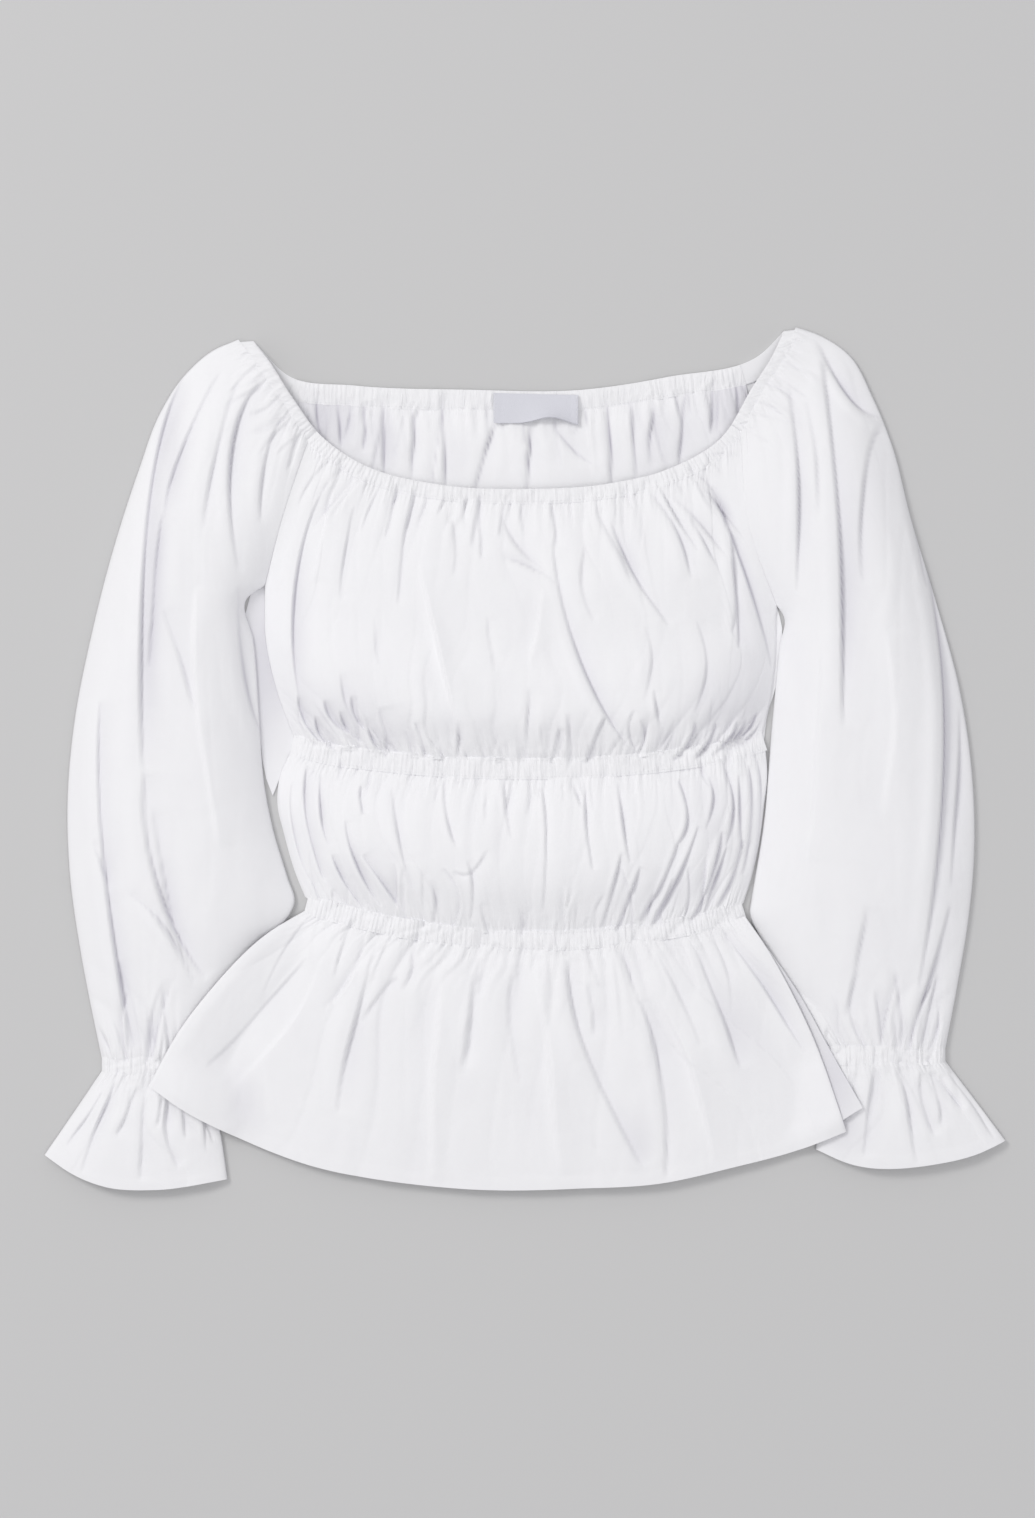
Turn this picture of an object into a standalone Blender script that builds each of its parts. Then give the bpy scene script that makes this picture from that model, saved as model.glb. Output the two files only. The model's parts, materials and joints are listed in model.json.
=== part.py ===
"""Peasant blouse in white cotton poplin, laid flat on a surface with its front up.

Run it with: blender --background --python part.py

Every table below is in millimetres. X runs across the blouse, Y runs up to the neck and Z runs up from
the surface. Left and right are those of someone who looks down at the blouse. Each panel is one sheet of
cloth, worked out on a grid between its cut edges and given its wall by a Solidify modifier.
"""

from collections import namedtuple

import bmesh
import bpy
import numpy as np

MM = 0.001
COLLECTION = "Peasant blouse"

# Cloth and seams
CLOTH = 1.2
CASING_WALL = 2.0
BACK_CASING_WALL = 1.6
LABEL_WALL = 1.0
SEAM_GAP = 0.3
LAYER_GAP = 0.3
CENTRE = (0.0, 0.56, 0.0)

# Widths of the elastic casings
NECK_CASING = 10.0
BACK_NECK_CASING = 14.0
BUST_CASING = 14.0
WAIST_CASING = 13.0
WRIST_CASING = 13.0

# Counts of the grids: columns across a panel and rows down it
FRONT_COLUMNS = 56
BACK_COLUMNS = 28
RAGLAN_ROWS = 6
FRONT_SIDE_ROWS = 8
BACK_SIDE_ROWS = 3
MIDRIFF_ROWS = 6
BACK_MIDRIFF_ROWS = 2
PEPLUM_ROWS = 9
BACK_PEPLUM_ROWS = 8
SLEEVE_UPPER_COLUMNS = 14
SLEEVE_LOWER_COLUMNS = 7
ARM_ROWS = 13
FLOUNCE_UPPER_COLUMNS = 26
FLOUNCE_LOWER_COLUMNS = 8
FLOUNCE_ROWS = 5
LABEL_COLUMNS = 8
LABEL_ROWS = 3

# How finely a curve and a fold are followed, and how near two points count as one
CURVE_STEPS = 600
FOLD_STEPS = 60
WELD = 0.001

# How folds fade towards a panel's sides, how columns close up towards its edges, how far from a folded
# edge the underside rounds up, how suddenly a shoulder's casing is drawn out to its peak, and the room
# that its fold has there
SIDE_FADE = 12
EDGE_CLOSING = 0.075
FOLD_ROUND = 4.0
PEAK_DRAW = 4
PEAK_ROOM = 1.5

# Heights where panels meet: a cut edge beside a lower layer, a folded edge, and the lowest front cloth
SIDE_EDGE = CLOTH + LAYER_GAP + CLOTH
CASING_SIDE_EDGE = BACK_CASING_WALL + LAYER_GAP + CLOTH
FOLDED_EDGE = 2.8
CASING_PROUD = CASING_WALL - CLOTH

Point = namedtuple("Point", "x y z")
Fold = namedtuple("Fold", "x0 y0 x1 y1 x2 y2 rise width")
Section = namedtuple("Section", "down crown fullness")
Gathers = namedtuple("Gathers", "depth reach")
Flounce = namedtuple("Flounce", "inner outer hem folds")
Arm = namedtuple("Arm", "name turn peak raglan_middle underarm inner outer wrist folds flounce")

# The neckline's elastic edge, from the left shoulder round the front to the right one
NECK_FRONT = (
    Point(-190, 293, 3.4), Point(-179, 279, 6.0), Point(-163, 254, 8.0), Point(-141, 225, 10.0),
    Point(-115, 207, 11.0), Point(-60, 192, 11.5), Point(-3, 189, 11.5), Point(60, 193, 11.5),
    Point(100, 203, 11.0), Point(136, 224, 10.0), Point(158, 259, 8.0), Point(173, 283, 6.0),
    Point(181, 300, 3.4),
)
# Its back edge, which lies on the surface
NECK_BACK = (
    Point(-190, 293, 0.0), Point(-164, 268, 0.0), Point(-120, 262, 0.0), Point(-40, 259, 0.0),
    Point(40, 259, 0.0), Point(100, 268, 0.0), Point(165, 284, 0.0), Point(181, 300, 0.0),
)
# Where the raglan seams meet the neckline, as shares of its length at the front and at the back
LEFT_RAGLAN_AT = 0.168
RIGHT_RAGLAN_AT = 0.836
LEFT_BACK_RAGLAN_AT = 0.10
RIGHT_BACK_RAGLAN_AT = 0.90

# Where the raglan and side seams meet
LEFT_UNDERARM = Point(-182, 122, FOLDED_EDGE)
RIGHT_UNDERARM = Point(176, 108, FOLDED_EDGE)

# Side seams of the front bodice, from the underarm to the under-bust elastic
LEFT_FRONT_SIDE = (
    LEFT_UNDERARM, Point(-181, 84, SIDE_EDGE), Point(-173, 49, SIDE_EDGE), Point(-161, 19, SIDE_EDGE),
)
RIGHT_FRONT_SIDE = (
    RIGHT_UNDERARM, Point(176, 84, SIDE_EDGE), Point(173, 49, SIDE_EDGE), Point(167, 23, SIDE_EDGE),
)
# Side edges of the back bodice, which shows past the front at the left
LEFT_BACK_SIDE = (
    Point(-182, 122, 0.0), Point(-192, 106, 0.0), Point(-187, 70, 0.0), Point(-184, 33, 0.0),
    Point(-180, -2, 0.0), Point(-167, 12, 0.0),
)
RIGHT_BACK_SIDE = (
    Point(176, 108, 0.0), Point(177, 84, 0.0), Point(174, 49, 0.0), Point(167, 23, 0.0),
)

# The middle line of each elastic that crosses the body
BUST_LINE = (
    Point(-163, 11, CASING_SIDE_EDGE), Point(-140, 5, 9.0), Point(-95, -1, 14.0), Point(-45, -5, 16.0),
    Point(0, -6, 16.0), Point(60, -4, 15.5), Point(110, 1, 13.5), Point(148, 8, 9.0),
    Point(167, 14, CASING_SIDE_EDGE),
)
WAIST_LINE = (
    Point(-153, -101, CASING_SIDE_EDGE), Point(-130, -107, 7.5), Point(-85, -117, 11.0),
    Point(-35, -124, 12.5), Point(10, -126, 12.5), Point(70, -122, 12.0), Point(115, -115, 10.0),
    Point(140, -109, 7.0), Point(153, -105, CASING_SIDE_EDGE),
)
LEFT_MIDRIFF_SIDE = (
    Point(-164, 3, SIDE_EDGE), Point(-171, -10, SIDE_EDGE), Point(-173, -33, SIDE_EDGE),
    Point(-169, -50, SIDE_EDGE), Point(-161, -78, SIDE_EDGE), Point(-154, -93, SIDE_EDGE),
)
RIGHT_MIDRIFF_SIDE = (
    Point(167, 6, SIDE_EDGE), Point(167, -10, SIDE_EDGE), Point(164, -34, SIDE_EDGE),
    Point(161, -57, SIDE_EDGE), Point(158, -80, SIDE_EDGE), Point(153, -97, SIDE_EDGE),
)

# Peplum: side edges from the waist down, and hems from left to right
LEFT_PEPLUM_SIDE = (
    Point(-153, -109, SIDE_EDGE), Point(-178, -121, SIDE_EDGE), Point(-217, -158, SIDE_EDGE),
    Point(-241, -189, SIDE_EDGE), Point(-262, -227, SIDE_EDGE),
)
RIGHT_PEPLUM_SIDE = (
    Point(153, -113, SIDE_EDGE), Point(170, -135, SIDE_EDGE), Point(186, -163, SIDE_EDGE),
    Point(199, -189, SIDE_EDGE), Point(224, -259, SIDE_EDGE),
)
PEPLUM_HEM = (
    Point(-262, -227, SIDE_EDGE), Point(-236, -245, 4.0), Point(-210, -259, 5.0), Point(-150, -283, 6.5),
    Point(-87, -295, 7.0), Point(-30, -300, 7.0), Point(40, -299, 7.0), Point(91, -296, 7.0),
    Point(147, -284, 6.5), Point(192, -272, 5.0), Point(224, -259, SIDE_EDGE),
)
LEFT_BACK_PEPLUM_SIDE = (
    Point(-153, -108, 0.0), Point(-176, -121, 0.0), Point(-214, -158, 0.0), Point(-238, -189, 0.0),
    Point(-258, -226, 0.0),
)
RIGHT_BACK_PEPLUM_SIDE = (
    Point(153, -112, 0.0), Point(172, -136, 0.0), Point(190, -162, 0.0), Point(213, -203, 0.0),
    Point(235, -242, 0.0),
)
BACK_PEPLUM_HEM = (
    Point(-258, -226, 0.0), Point(-210, -255, 0.0), Point(-150, -280, 0.0), Point(-87, -292, 0.0),
    Point(0, -297, 0.0), Point(91, -293, 0.0), Point(147, -282, 0.0), Point(196, -266, 0.0),
    Point(235, -242, 0.0),
)

# Sleeves: the folded outer edge from the shoulder to the wrist, and the inner edge from the underarm
LEFT_OUTER = (
    Point(-203, 293, FOLDED_EDGE), Point(-217, 287, FOLDED_EDGE), Point(-238, 269, FOLDED_EDGE),
    Point(-255, 243, FOLDED_EDGE), Point(-270, 203, FOLDED_EDGE), Point(-288, 147, FOLDED_EDGE),
    Point(-304, 84, FOLDED_EDGE), Point(-315, 28, FOLDED_EDGE), Point(-320, -28, FOLDED_EDGE),
    Point(-318, -84, FOLDED_EDGE), Point(-311, -133, FOLDED_EDGE), Point(-303, -175, FOLDED_EDGE),
    Point(-296, -206, FOLDED_EDGE),
)
LEFT_INNER = (
    LEFT_UNDERARM, Point(-195, 112, FOLDED_EDGE), Point(-190, 84, FOLDED_EDGE),
    Point(-186, 33, FOLDED_EDGE), Point(-182, -19, FOLDED_EDGE), Point(-176, -49, FOLDED_EDGE),
    Point(-166, -82, FOLDED_EDGE), Point(-161, -99, FOLDED_EDGE), Point(-168, -112, FOLDED_EDGE),
    Point(-184, -127, FOLDED_EDGE), Point(-199, -149, FOLDED_EDGE), Point(-213, -177, FOLDED_EDGE),
    Point(-225, -206, FOLDED_EDGE),
)
RIGHT_OUTER = (
    Point(192, 302, FOLDED_EDGE), Point(206, 297, FOLDED_EDGE), Point(227, 283, FOLDED_EDGE),
    Point(243, 254, FOLDED_EDGE), Point(256, 222, FOLDED_EDGE), Point(270, 168, FOLDED_EDGE),
    Point(287, 112, FOLDED_EDGE), Point(304, 49, FOLDED_EDGE), Point(313, -14, FOLDED_EDGE),
    Point(314, -70, FOLDED_EDGE), Point(310, -112, FOLDED_EDGE), Point(303, -154, FOLDED_EDGE),
    Point(294, -199, FOLDED_EDGE),
)
RIGHT_INNER = (
    RIGHT_UNDERARM, Point(187, 102, FOLDED_EDGE), Point(181, 80, FOLDED_EDGE),
    Point(178, 49, FOLDED_EDGE), Point(173, 12, FOLDED_EDGE), Point(170, -20, FOLDED_EDGE),
    Point(164, -75, FOLDED_EDGE), Point(159, -101, FOLDED_EDGE), Point(163, -120, FOLDED_EDGE),
    Point(173, -142, FOLDED_EDGE), Point(188, -168, FOLDED_EDGE), Point(209, -199, FOLDED_EDGE),
)
# Number of the outer edge's point that lies level with the underarm
OUTER_AT_UNDERARM = 5
LEFT_WRIST = (Point(-225, -213, FOLDED_EDGE), Point(-296, -213, FOLDED_EDGE))
RIGHT_WRIST = (Point(209, -206, FOLDED_EDGE), Point(294, -206, FOLDED_EDGE))

# Flounces: the sides from the wrist down, and the hem from the inner side to the outer one
LEFT_FLOUNCE_INNER = (
    Point(-225, -220, FOLDED_EDGE), Point(-214, -255, FOLDED_EDGE), Point(-208, -293, FOLDED_EDGE),
)
LEFT_FLOUNCE_OUTER = (
    Point(-296, -220, FOLDED_EDGE), Point(-316, -247, FOLDED_EDGE), Point(-336, -276, FOLDED_EDGE),
)
LEFT_FLOUNCE_HEM = (
    Point(-208, -293, FOLDED_EDGE), Point(-259, -300, FOLDED_EDGE), Point(-292, -298, FOLDED_EDGE),
    Point(-314, -290, FOLDED_EDGE), Point(-336, -276, FOLDED_EDGE),
)
RIGHT_FLOUNCE_INNER = (
    Point(209, -213, FOLDED_EDGE), Point(208, -244, FOLDED_EDGE), Point(203, -272, FOLDED_EDGE),
)
RIGHT_FLOUNCE_OUTER = (
    Point(294, -213, FOLDED_EDGE), Point(315, -238, FOLDED_EDGE), Point(336, -266, FOLDED_EDGE),
)
RIGHT_FLOUNCE_HEM = (
    Point(203, -272, FOLDED_EDGE), Point(227, -282, FOLDED_EDGE), Point(287, -282, FOLDED_EDGE),
    Point(316, -275, FOLDED_EDGE), Point(336, -266, FOLDED_EDGE),
)

# How far each panel puffs up over its edges, from its top to its bottom
BODICE_PUFF = (
    Section(0.00, 0.0, 3.0), Section(0.15, 6.0, 3.4), Section(0.40, 14.0, 4.0), Section(0.65, 19.0, 4.5),
    Section(0.82, 19.0, 4.5), Section(0.93, 12.0, 4.0), Section(1.00, 0.0, 4.0),
)
MIDRIFF_PUFF = (
    Section(0.00, 0.0, 4.0), Section(0.15, 8.0, 4.0), Section(0.40, 14.0, 4.0), Section(0.70, 13.0, 4.0),
    Section(0.90, 5.0, 4.0), Section(1.00, 0.0, 4.0),
)
PEPLUM_PUFF = (
    Section(0.00, 0.0, 4.0), Section(0.12, 3.0, 4.0), Section(0.40, 5.0, 4.0), Section(0.75, 4.0, 4.0),
    Section(1.00, 1.0, 4.0),
)
SLEEVE_PUFF = (
    Section(0.00, 4.0, 2.6), Section(0.12, 12.0, 2.6), Section(0.30, 19.0, 2.8), Section(0.60, 21.0, 3.0),
    Section(0.82, 16.0, 3.0), Section(0.94, 9.5, 2.8), Section(1.00, 6.6, 3.0),
)
FLOUNCE_PUFF = (
    Section(0.00, 6.4, 3.0), Section(0.30, 8.0, 3.0), Section(0.70, 7.0, 3.0), Section(1.00, 5.0, 3.0),
)

WRIST_PUFF = (Section(0.0, 7.2, 3.0), Section(1.0, 7.2, 3.0))
SHOULDER_PUFF = (Section(0.0, 4.0, 2.6), Section(1.0, 4.0, 2.6))

# Gathers at each seam: how deep they are there and how far they reach into the panel
NECK_GATHERS = Gathers(1.3, 26.0)
BUST_GATHERS = Gathers(1.8, 30.0)
MIDRIFF_GATHERS = Gathers(1.5, 38.0)
WAIST_GATHERS = Gathers(1.8, 42.0)
BACK_NECK_GATHERS = Gathers(1.0, 40.0)
SHOULDER_GATHERS = Gathers(1.0, 32.0)
WRIST_GATHERS = Gathers(1.4, 40.0)
FLOUNCE_GATHERS = Gathers(1.3, 40.0)
CASING_CRINKLE = 0.5

BODICE_FOLDS = (
    Fold(60, 165, 75, 131, 100, 93, -4.0, 5.0),
    Fold(19, 176, 36, 90, 57, 28, -6.0, 6.0),
    Fold(-15, 140, 4, 134, 22, 122, -2.5, 5.0),
    Fold(89, 185, 106, 158, 116, 127, -3.5, 5.0),
    Fold(129, 195, 158, 118, 169, 64, -4.5, 6.0),
    Fold(143, 160, 147, 120, 149, 82, -3.0, 5.0),
    Fold(-136, 185, -158, 100, -153, 23, -4.0, 6.0),
    Fold(-77, 185, -84, 150, -88, 108, -2.5, 5.0),
    Fold(-73, 136, -60, 80, -41, 12, 3.5, 6.0),
    Fold(-32, 185, -31, 160, -30, 140, -2.0, 5.0),
    Fold(-104, 99, -103, 80, -100, 64, -2.5, 8.0),
    Fold(13, 118, 9, 90, 3, 64, 2.0, 6.0),
)
MIDRIFF_FOLDS = (
    Fold(111, -17, 110, -50, 84, -115, -4.0, 5.0),
    Fold(138, -8, 134, -45, 102, -111, -4.0, 5.0),
    Fold(151, -8, 150, -44, 122, -108, -3.0, 5.0),
    Fold(37, -17, 42, -50, 48, -89, -2.5, 5.0),
    Fold(-57, -17, -50, -42, -41, -71, -3.0, 5.0),
    Fold(-127, -17, -117, -62, -95, -102, -3.5, 5.0),
    Fold(-102, -20, -95, -56, -73, -90, -3.0, 5.0),
    Fold(-142, -17, -138, -62, -114, -106, -3.0, 5.0),
    Fold(-13, -17, -10, -60, -8, -106, -2.0, 5.0),
)
PEPLUM_FOLDS = (
    Fold(-104, -130, -121, -195, -131, -246, -3.5, 8.0),
    Fold(-136, -130, -167, -190, -203, -228, 4.0, 10.0),
    Fold(-69, -143, -74, -166, -82, -192, -2.5, 7.0),
    Fold(-59, -150, -62, -220, -66, -292, 3.5, 13.0),
    Fold(-32, -138, -37, -180, -41, -214, -2.0, 7.0),
    Fold(8, -140, 18, -215, 26, -290, 3.5, 13.0),
    Fold(28, -138, 45, -205, 71, -273, -4.5, 8.0),
    Fold(71, -134, 96, -192, 98, -292, -5.0, 8.0),
    Fold(84, -150, 118, -220, 132, -280, 3.5, 11.0),
    Fold(120, -130, 137, -177, 151, -214, -3.5, 7.0),
    Fold(140, -120, 171, -165, 197, -205, -4.0, 7.0),
)
LEFT_SLEEVE_FOLDS = (
    Fold(-239, 268, -263, 160, -264, -8, -7.0, 9.0),
    Fold(-263, -8, -256, -85, -222, -152, -5.0, 8.0),
    Fold(-180, 265, -203, 220, -199, 131, -5.0, 7.0),
    Fold(-199, 120, -196, 60, -178, 5, -3.0, 7.0),
    Fold(-295, 41, -292, -80, -272, -200, -5.0, 8.0),
    Fold(-257, -35, -252, -75, -244, -116, -2.5, 7.0),
    Fold(-274, -93, -248, -120, -230, -156, -3.5, 7.0),
    Fold(-212, 262, -222, 210, -222, 161, -2.5, 7.0),
    Fold(-228, 120, -226, 40, -212, -60, 3.0, 13.0),
)
RIGHT_SLEEVE_FOLDS = (
    Fold(210, 279, 222, 150, 221, 23, -6.0, 8.0),
    Fold(187, 266, 188, 190, 192, 118, -4.0, 7.0),
    Fold(205, 290, 223, 262, 244, 246, -4.0, 7.0),
    Fold(243, 234, 236, 180, 241, 127, -3.5, 8.0),
    Fold(270, 167, 292, 10, 272, -160, -6.5, 8.0),
    Fold(298, -60, 290, -130, 268, -196, -4.0, 7.0),
    Fold(237, -102, 232, -140, 223, -178, -2.5, 9.0),
    Fold(205, 90, 204, 10, 196, -70, 2.5, 13.0),
)
LEFT_FLOUNCE_FOLDS = (
    Fold(-286, -226, -296, -250, -310, -288, -3.0, 6.0),
    Fold(-270, -228, -278, -248, -285, -262, -2.5, 5.0),
    Fold(-264, -235, -267, -262, -268, -293, -2.5, 5.0),
    Fold(-247, -230, -250, -258, -242, -284, -3.0, 6.0),
    Fold(-238, -232, -238, -248, -236, -264, -2.0, 5.0),
    Fold(-228, -236, -224, -250, -218, -266, -2.5, 5.0),
)
RIGHT_FLOUNCE_FOLDS = (
    Fold(260, -216, 267, -242, 273, -280, -3.5, 6.0),
    Fold(276, -218, 278, -242, 286, -262, -3.0, 5.0),
    Fold(290, -220, 298, -235, 308, -243, -2.5, 5.0),
    Fold(296, -218, 312, -240, 328, -264, -2.5, 5.0),
    Fold(243, -216, 240, -244, 236, -276, -2.5, 6.0),
    Fold(228, -218, 222, -240, 216, -262, -2.5, 6.0),
)
BACK_NECK_FOLDS = (
    Fold(-140, 242, -141, 222, -142, 205, 2.6, 6.0),
    Fold(-109, 244, -109, 225, -110, 205, 2.6, 6.0),
    Fold(-91, 244, -90, 222, -90, 195, 2.6, 5.0),
    Fold(-73, 244, -72, 222, -72, 192, 2.6, 5.0),
    Fold(-50, 244, -53, 222, -58, 190, 2.6, 6.0),
    Fold(-20, 236, -26, 215, -33, 190, 2.6, 6.0),
    Fold(12, 236, 8, 215, 5, 190, 2.6, 6.0),
    Fold(48, 244, 46, 222, 44, 192, 2.6, 5.0),
    Fold(76, 248, 78, 226, 80, 200, 2.6, 5.0),
    Fold(104, 250, 106, 230, 108, 210, 2.6, 5.0),
    Fold(130, 258, 134, 240, 136, 222, 2.6, 5.0),
)

LEFT = Arm(
    name="left",
    turn=-1,
    peak=Point(-202.5, 292.5, FOLDED_EDGE),
    raglan_middle=Point(-168, 172, 11.0),
    underarm=LEFT_UNDERARM,
    inner=LEFT_INNER,
    outer=LEFT_OUTER,
    wrist=LEFT_WRIST,
    folds=LEFT_SLEEVE_FOLDS,
    flounce=Flounce(LEFT_FLOUNCE_INNER, LEFT_FLOUNCE_OUTER, LEFT_FLOUNCE_HEM, LEFT_FLOUNCE_FOLDS),
)
RIGHT = Arm(
    name="right",
    turn=1,
    peak=Point(191.5, 301.5, FOLDED_EDGE),
    raglan_middle=Point(156, 162, 11.0),
    underarm=RIGHT_UNDERARM,
    inner=RIGHT_INNER,
    outer=RIGHT_OUTER,
    wrist=RIGHT_WRIST,
    folds=RIGHT_SLEEVE_FOLDS,
    flounce=Flounce(RIGHT_FLOUNCE_INNER, RIGHT_FLOUNCE_OUTER, RIGHT_FLOUNCE_HEM, RIGHT_FLOUNCE_FOLDS),
)

# How steeply the peplum's corners fall off the sleeves that they lie on, as a rise over a run, and the
# room that each layer leaves over what it rests on
REST_SLOPE = 0.45
BACK_REST_ROOM = 2.6
FRONT_REST_ROOM = 2.0
REST_FROM_Y = -118.0
REST_FINER = 6
LIFTED = CLOTH + 0.1

# The woven label: its left end, its size and how far its lower edge lifts
LABEL_LEFT = -22.0
LABEL_WIDTH = 59.0
LABEL_TOP = 256.5
LABEL_HEIGHT = 21.0
LABEL_TILT = -1.5
LABEL_BASE = 4.2
LABEL_WAVE = 2.2

COTTON = ("White cotton poplin", (0.90, 0.90, 0.92), 0.85)
CASING = ("White elastic casing", (0.91, 0.91, 0.93), 0.85)
WOVEN = ("Pale woven label", (0.72, 0.75, 0.82), 0.6)


def smooth_values(places, values, wanted):
    """Values at the wanted places: a cubic between rows, with each row's slope from its neighbours."""
    places = np.asarray(places, float)
    values = np.asarray(values, float)
    slopes = np.gradient(values, places, axis=0)
    row = np.clip(np.searchsorted(places, wanted, side="right") - 1, 0, len(places) - 2)
    span = (places[row + 1] - places[row])[:, None]
    t = (wanted[:, None] - places[row][:, None]) / span
    return (
        (1 + 2 * t) * (1 - t) ** 2 * values[row]
        + t * (1 - t) ** 2 * span * slopes[row]
        + t * t * (3 - 2 * t) * values[row + 1]
        + t * t * (t - 1) * span * slopes[row + 1]
    )


def run_of(line):
    """Length from the first point to each point of a line."""
    steps = np.linalg.norm(np.diff(line, axis=0), axis=1)
    return np.concatenate(([0.0], np.cumsum(steps)))


def along(points, shares, first=0, last=-1):
    """Points on a smooth curve through a table, at shares of its length between two of its rows."""
    knots = np.array(points, float)
    chord = run_of(knots)
    fine = np.linspace(0.0, chord[-1], CURVE_STEPS)
    curve = smooth_values(chord, knots, fine)
    run = run_of(curve)
    start, end = np.interp((chord[first], chord[last]), fine, run)
    wanted = start + (end - start) * np.asarray(shares)
    return np.stack([np.interp(wanted, run, axis) for axis in curve.T], axis=-1)


def beside(line, distance):
    """The line moved in plan, to the right of its own direction."""
    direction = np.gradient(line, axis=0)
    side = np.stack((direction[:, 1], -direction[:, 0]), axis=-1)
    side /= np.linalg.norm(side, axis=1, keepdims=True)
    moved = line.copy()
    moved[:, :2] += np.reshape(distance, (-1, 1)) * side
    return moved


def spread(count):
    """Shares from 0 to 1 in a number of equal steps."""
    return np.linspace(0.0, 1.0, count + 1)


def uneven_spread(count):
    """Shares from 0 to 1 whose steps vary, as gathers do."""
    number = np.arange(count + 1)
    shares = number + 0.22 * np.sin(2.3 * number) + 0.14 * np.sin(5.1 * number + 1.0)
    return (shares - shares[0]) / (shares[-1] - shares[0])


def patch(top, bottom, left, right, across, down):
    """Grid between four edges by Coons' rule: both straight blends less the blend of the corners.

    The top and bottom run from left to right, and the sides from top to bottom."""
    across = np.asarray(across)[None, :, None]
    down = np.asarray(down)[:, None, None]
    ends = (1 - down) * top[None] + down * bottom[None]
    sides = (1 - across) * left[:, None] + across * right[:, None]
    corners = (1 - down) * ((1 - across) * top[0] + across * top[-1])
    corners = corners + down * ((1 - across) * bottom[0] + across * bottom[-1])
    return ends + sides - corners


def puff(sections, across, down):
    """Height over the edges: each row's crown times one less a power of the distance from the middle."""
    rows = np.array(sections, float)
    crown, fullness = smooth_values(rows[:, 0], rows[:, 1:], np.asarray(down)).T
    from_middle = np.abs(2 * np.asarray(across) - 1)[None, :]
    return crown[:, None] * (1 - from_middle ** fullness[:, None])


def fold_relief(plan, folds):
    """Height that folds add: a bell across each fold, along a parabola through its three points."""
    relief = np.zeros(plan.shape[:2])
    share = spread(FOLD_STEPS)[:, None]
    for fold in folds:
        start, middle, end = np.array(fold[:6], float).reshape(3, 2)
        bend = 2 * middle - (start + end) / 2
        route = (1 - share) ** 2 * start + 2 * share * (1 - share) * bend + share ** 2 * end
        away = np.linalg.norm(plan[:, :, None, :2] - route, axis=-1)
        fade = np.sqrt(np.sin(np.pi * share[away.argmin(axis=-1), 0]))
        relief += fold.rise * fade * np.exp(-((away.min(axis=-1) / fold.width) ** 2))
    return relief


def gathered(columns, distance, gathers):
    """Rises and falls on alternate columns, uneven in depth and reach, that fade away from the seam."""
    number = np.arange(columns + 1)
    depth = gathers.depth * (0.75 + 0.25 * np.sin(1.9 * number)) * np.cos(np.pi * number)
    depth = depth * (1 - np.abs(2 * number / columns - 1) ** 8)
    reach = gathers.reach * (0.55 + 0.45 * np.sin(0.9 * number + 0.4) ** 2)
    return depth[None, :] * np.exp(-((distance / reach[None, :]) ** 1.5))


def crinkle(columns):
    """The casing's own small rises and falls, in step with the gathers that it holds."""
    return gathered(columns, np.zeros((1, columns + 1)), Gathers(CASING_CRINKLE, 1.0))[0]


def distance_from_top(grid):
    """How far each point lies from the top of its own column."""
    steps = np.linalg.norm(np.diff(grid[:, :, :2], axis=0), axis=2)
    return np.concatenate((np.zeros((1, grid.shape[1])), np.cumsum(steps, axis=0)))


def distance_from_bottom(grid):
    """How far each point lies from the bottom of its own column."""
    run = distance_from_top(grid)
    return run[-1:] - run


def raised(grid, height):
    """The grid moved up by a height at each point."""
    moved = grid.copy()
    moved[:, :, 2] += height
    return moved


def kept_above(grid, lowest):
    """The grid with every point at least at the given height."""
    moved = grid.copy()
    moved[:, :, 2] = np.maximum(moved[:, :, 2], lowest)
    return moved


def middle_of(start, end):
    """The middle of a straight seam."""
    return (np.asarray(start) + np.asarray(end)) / 2


def straight(start, end, shares):
    """Points at shares of the way from one point to another."""
    return (1 - shares[:, None]) * np.asarray(start) + shares[:, None] * np.asarray(end)


def shares_of(line):
    """Share of a line's length at each of its points."""
    run = run_of(line)
    return run / run[-1]


def shares_across(grid):
    """Share of the way across a grid at each of its columns, measured along its first row."""
    return shares_of(grid[0])


def fading_at_sides(across):
    """One over most of a panel, falling to nothing at its sides."""
    return 1 - np.abs(2 * across - 1) ** SIDE_FADE


def rounded_under(away):
    """Height of an underside near a folded edge: a quarter circle, level with the fold at the edge."""
    share = np.clip(away / FOLD_ROUND, 0.0, 1.0)
    return FOLDED_EDGE * (1 - np.sqrt(1 - (1 - share) ** 2))


def edge_spread(count):
    """Shares from 0 to 1 that close up towards both ends."""
    share = spread(count)
    return share - EDGE_CLOSING * np.sin(2 * np.pi * share)


def seam_distance(line, casing):
    """Distance of a sleeve's edge from its neckline: past the casing, with more room at the fold."""
    return casing + SEAM_GAP + PEAK_ROOM * shares_of(line) ** PEAK_DRAW


def casing_foot(line, casing, distance, arm):
    """A line beside a sleeve's neckline, drawn out at the shoulder so that the casing ends at its peak."""
    drawn = np.asarray(arm.peak) - beside(line, casing * arm.turn)[-1]
    foot = beside(line, distance * arm.turn)
    foot[:, :2] += drawn[:2] * shares_of(line)[:, None] ** PEAK_DRAW
    return foot


def flat(line, height):
    """The line or grid laid at one height."""
    laid = np.array(line, float)
    laid[..., 2] = height
    return laid


def finer(grid, times):
    """The grid with straight steps between its points, so that none of its cloth is missed."""
    for axis in (0, 1):
        count = grid.shape[axis]
        place = np.linspace(0, count - 1, (count - 1) * times + 1)
        low = np.minimum(place.astype(int), count - 2)
        part = (place - low).reshape((-1, 1, 1) if axis == 0 else (1, -1, 1))
        grid = (1 - part) * np.take(grid, low, axis) + part * np.take(grid, low + 1, axis)
    return grid


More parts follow.
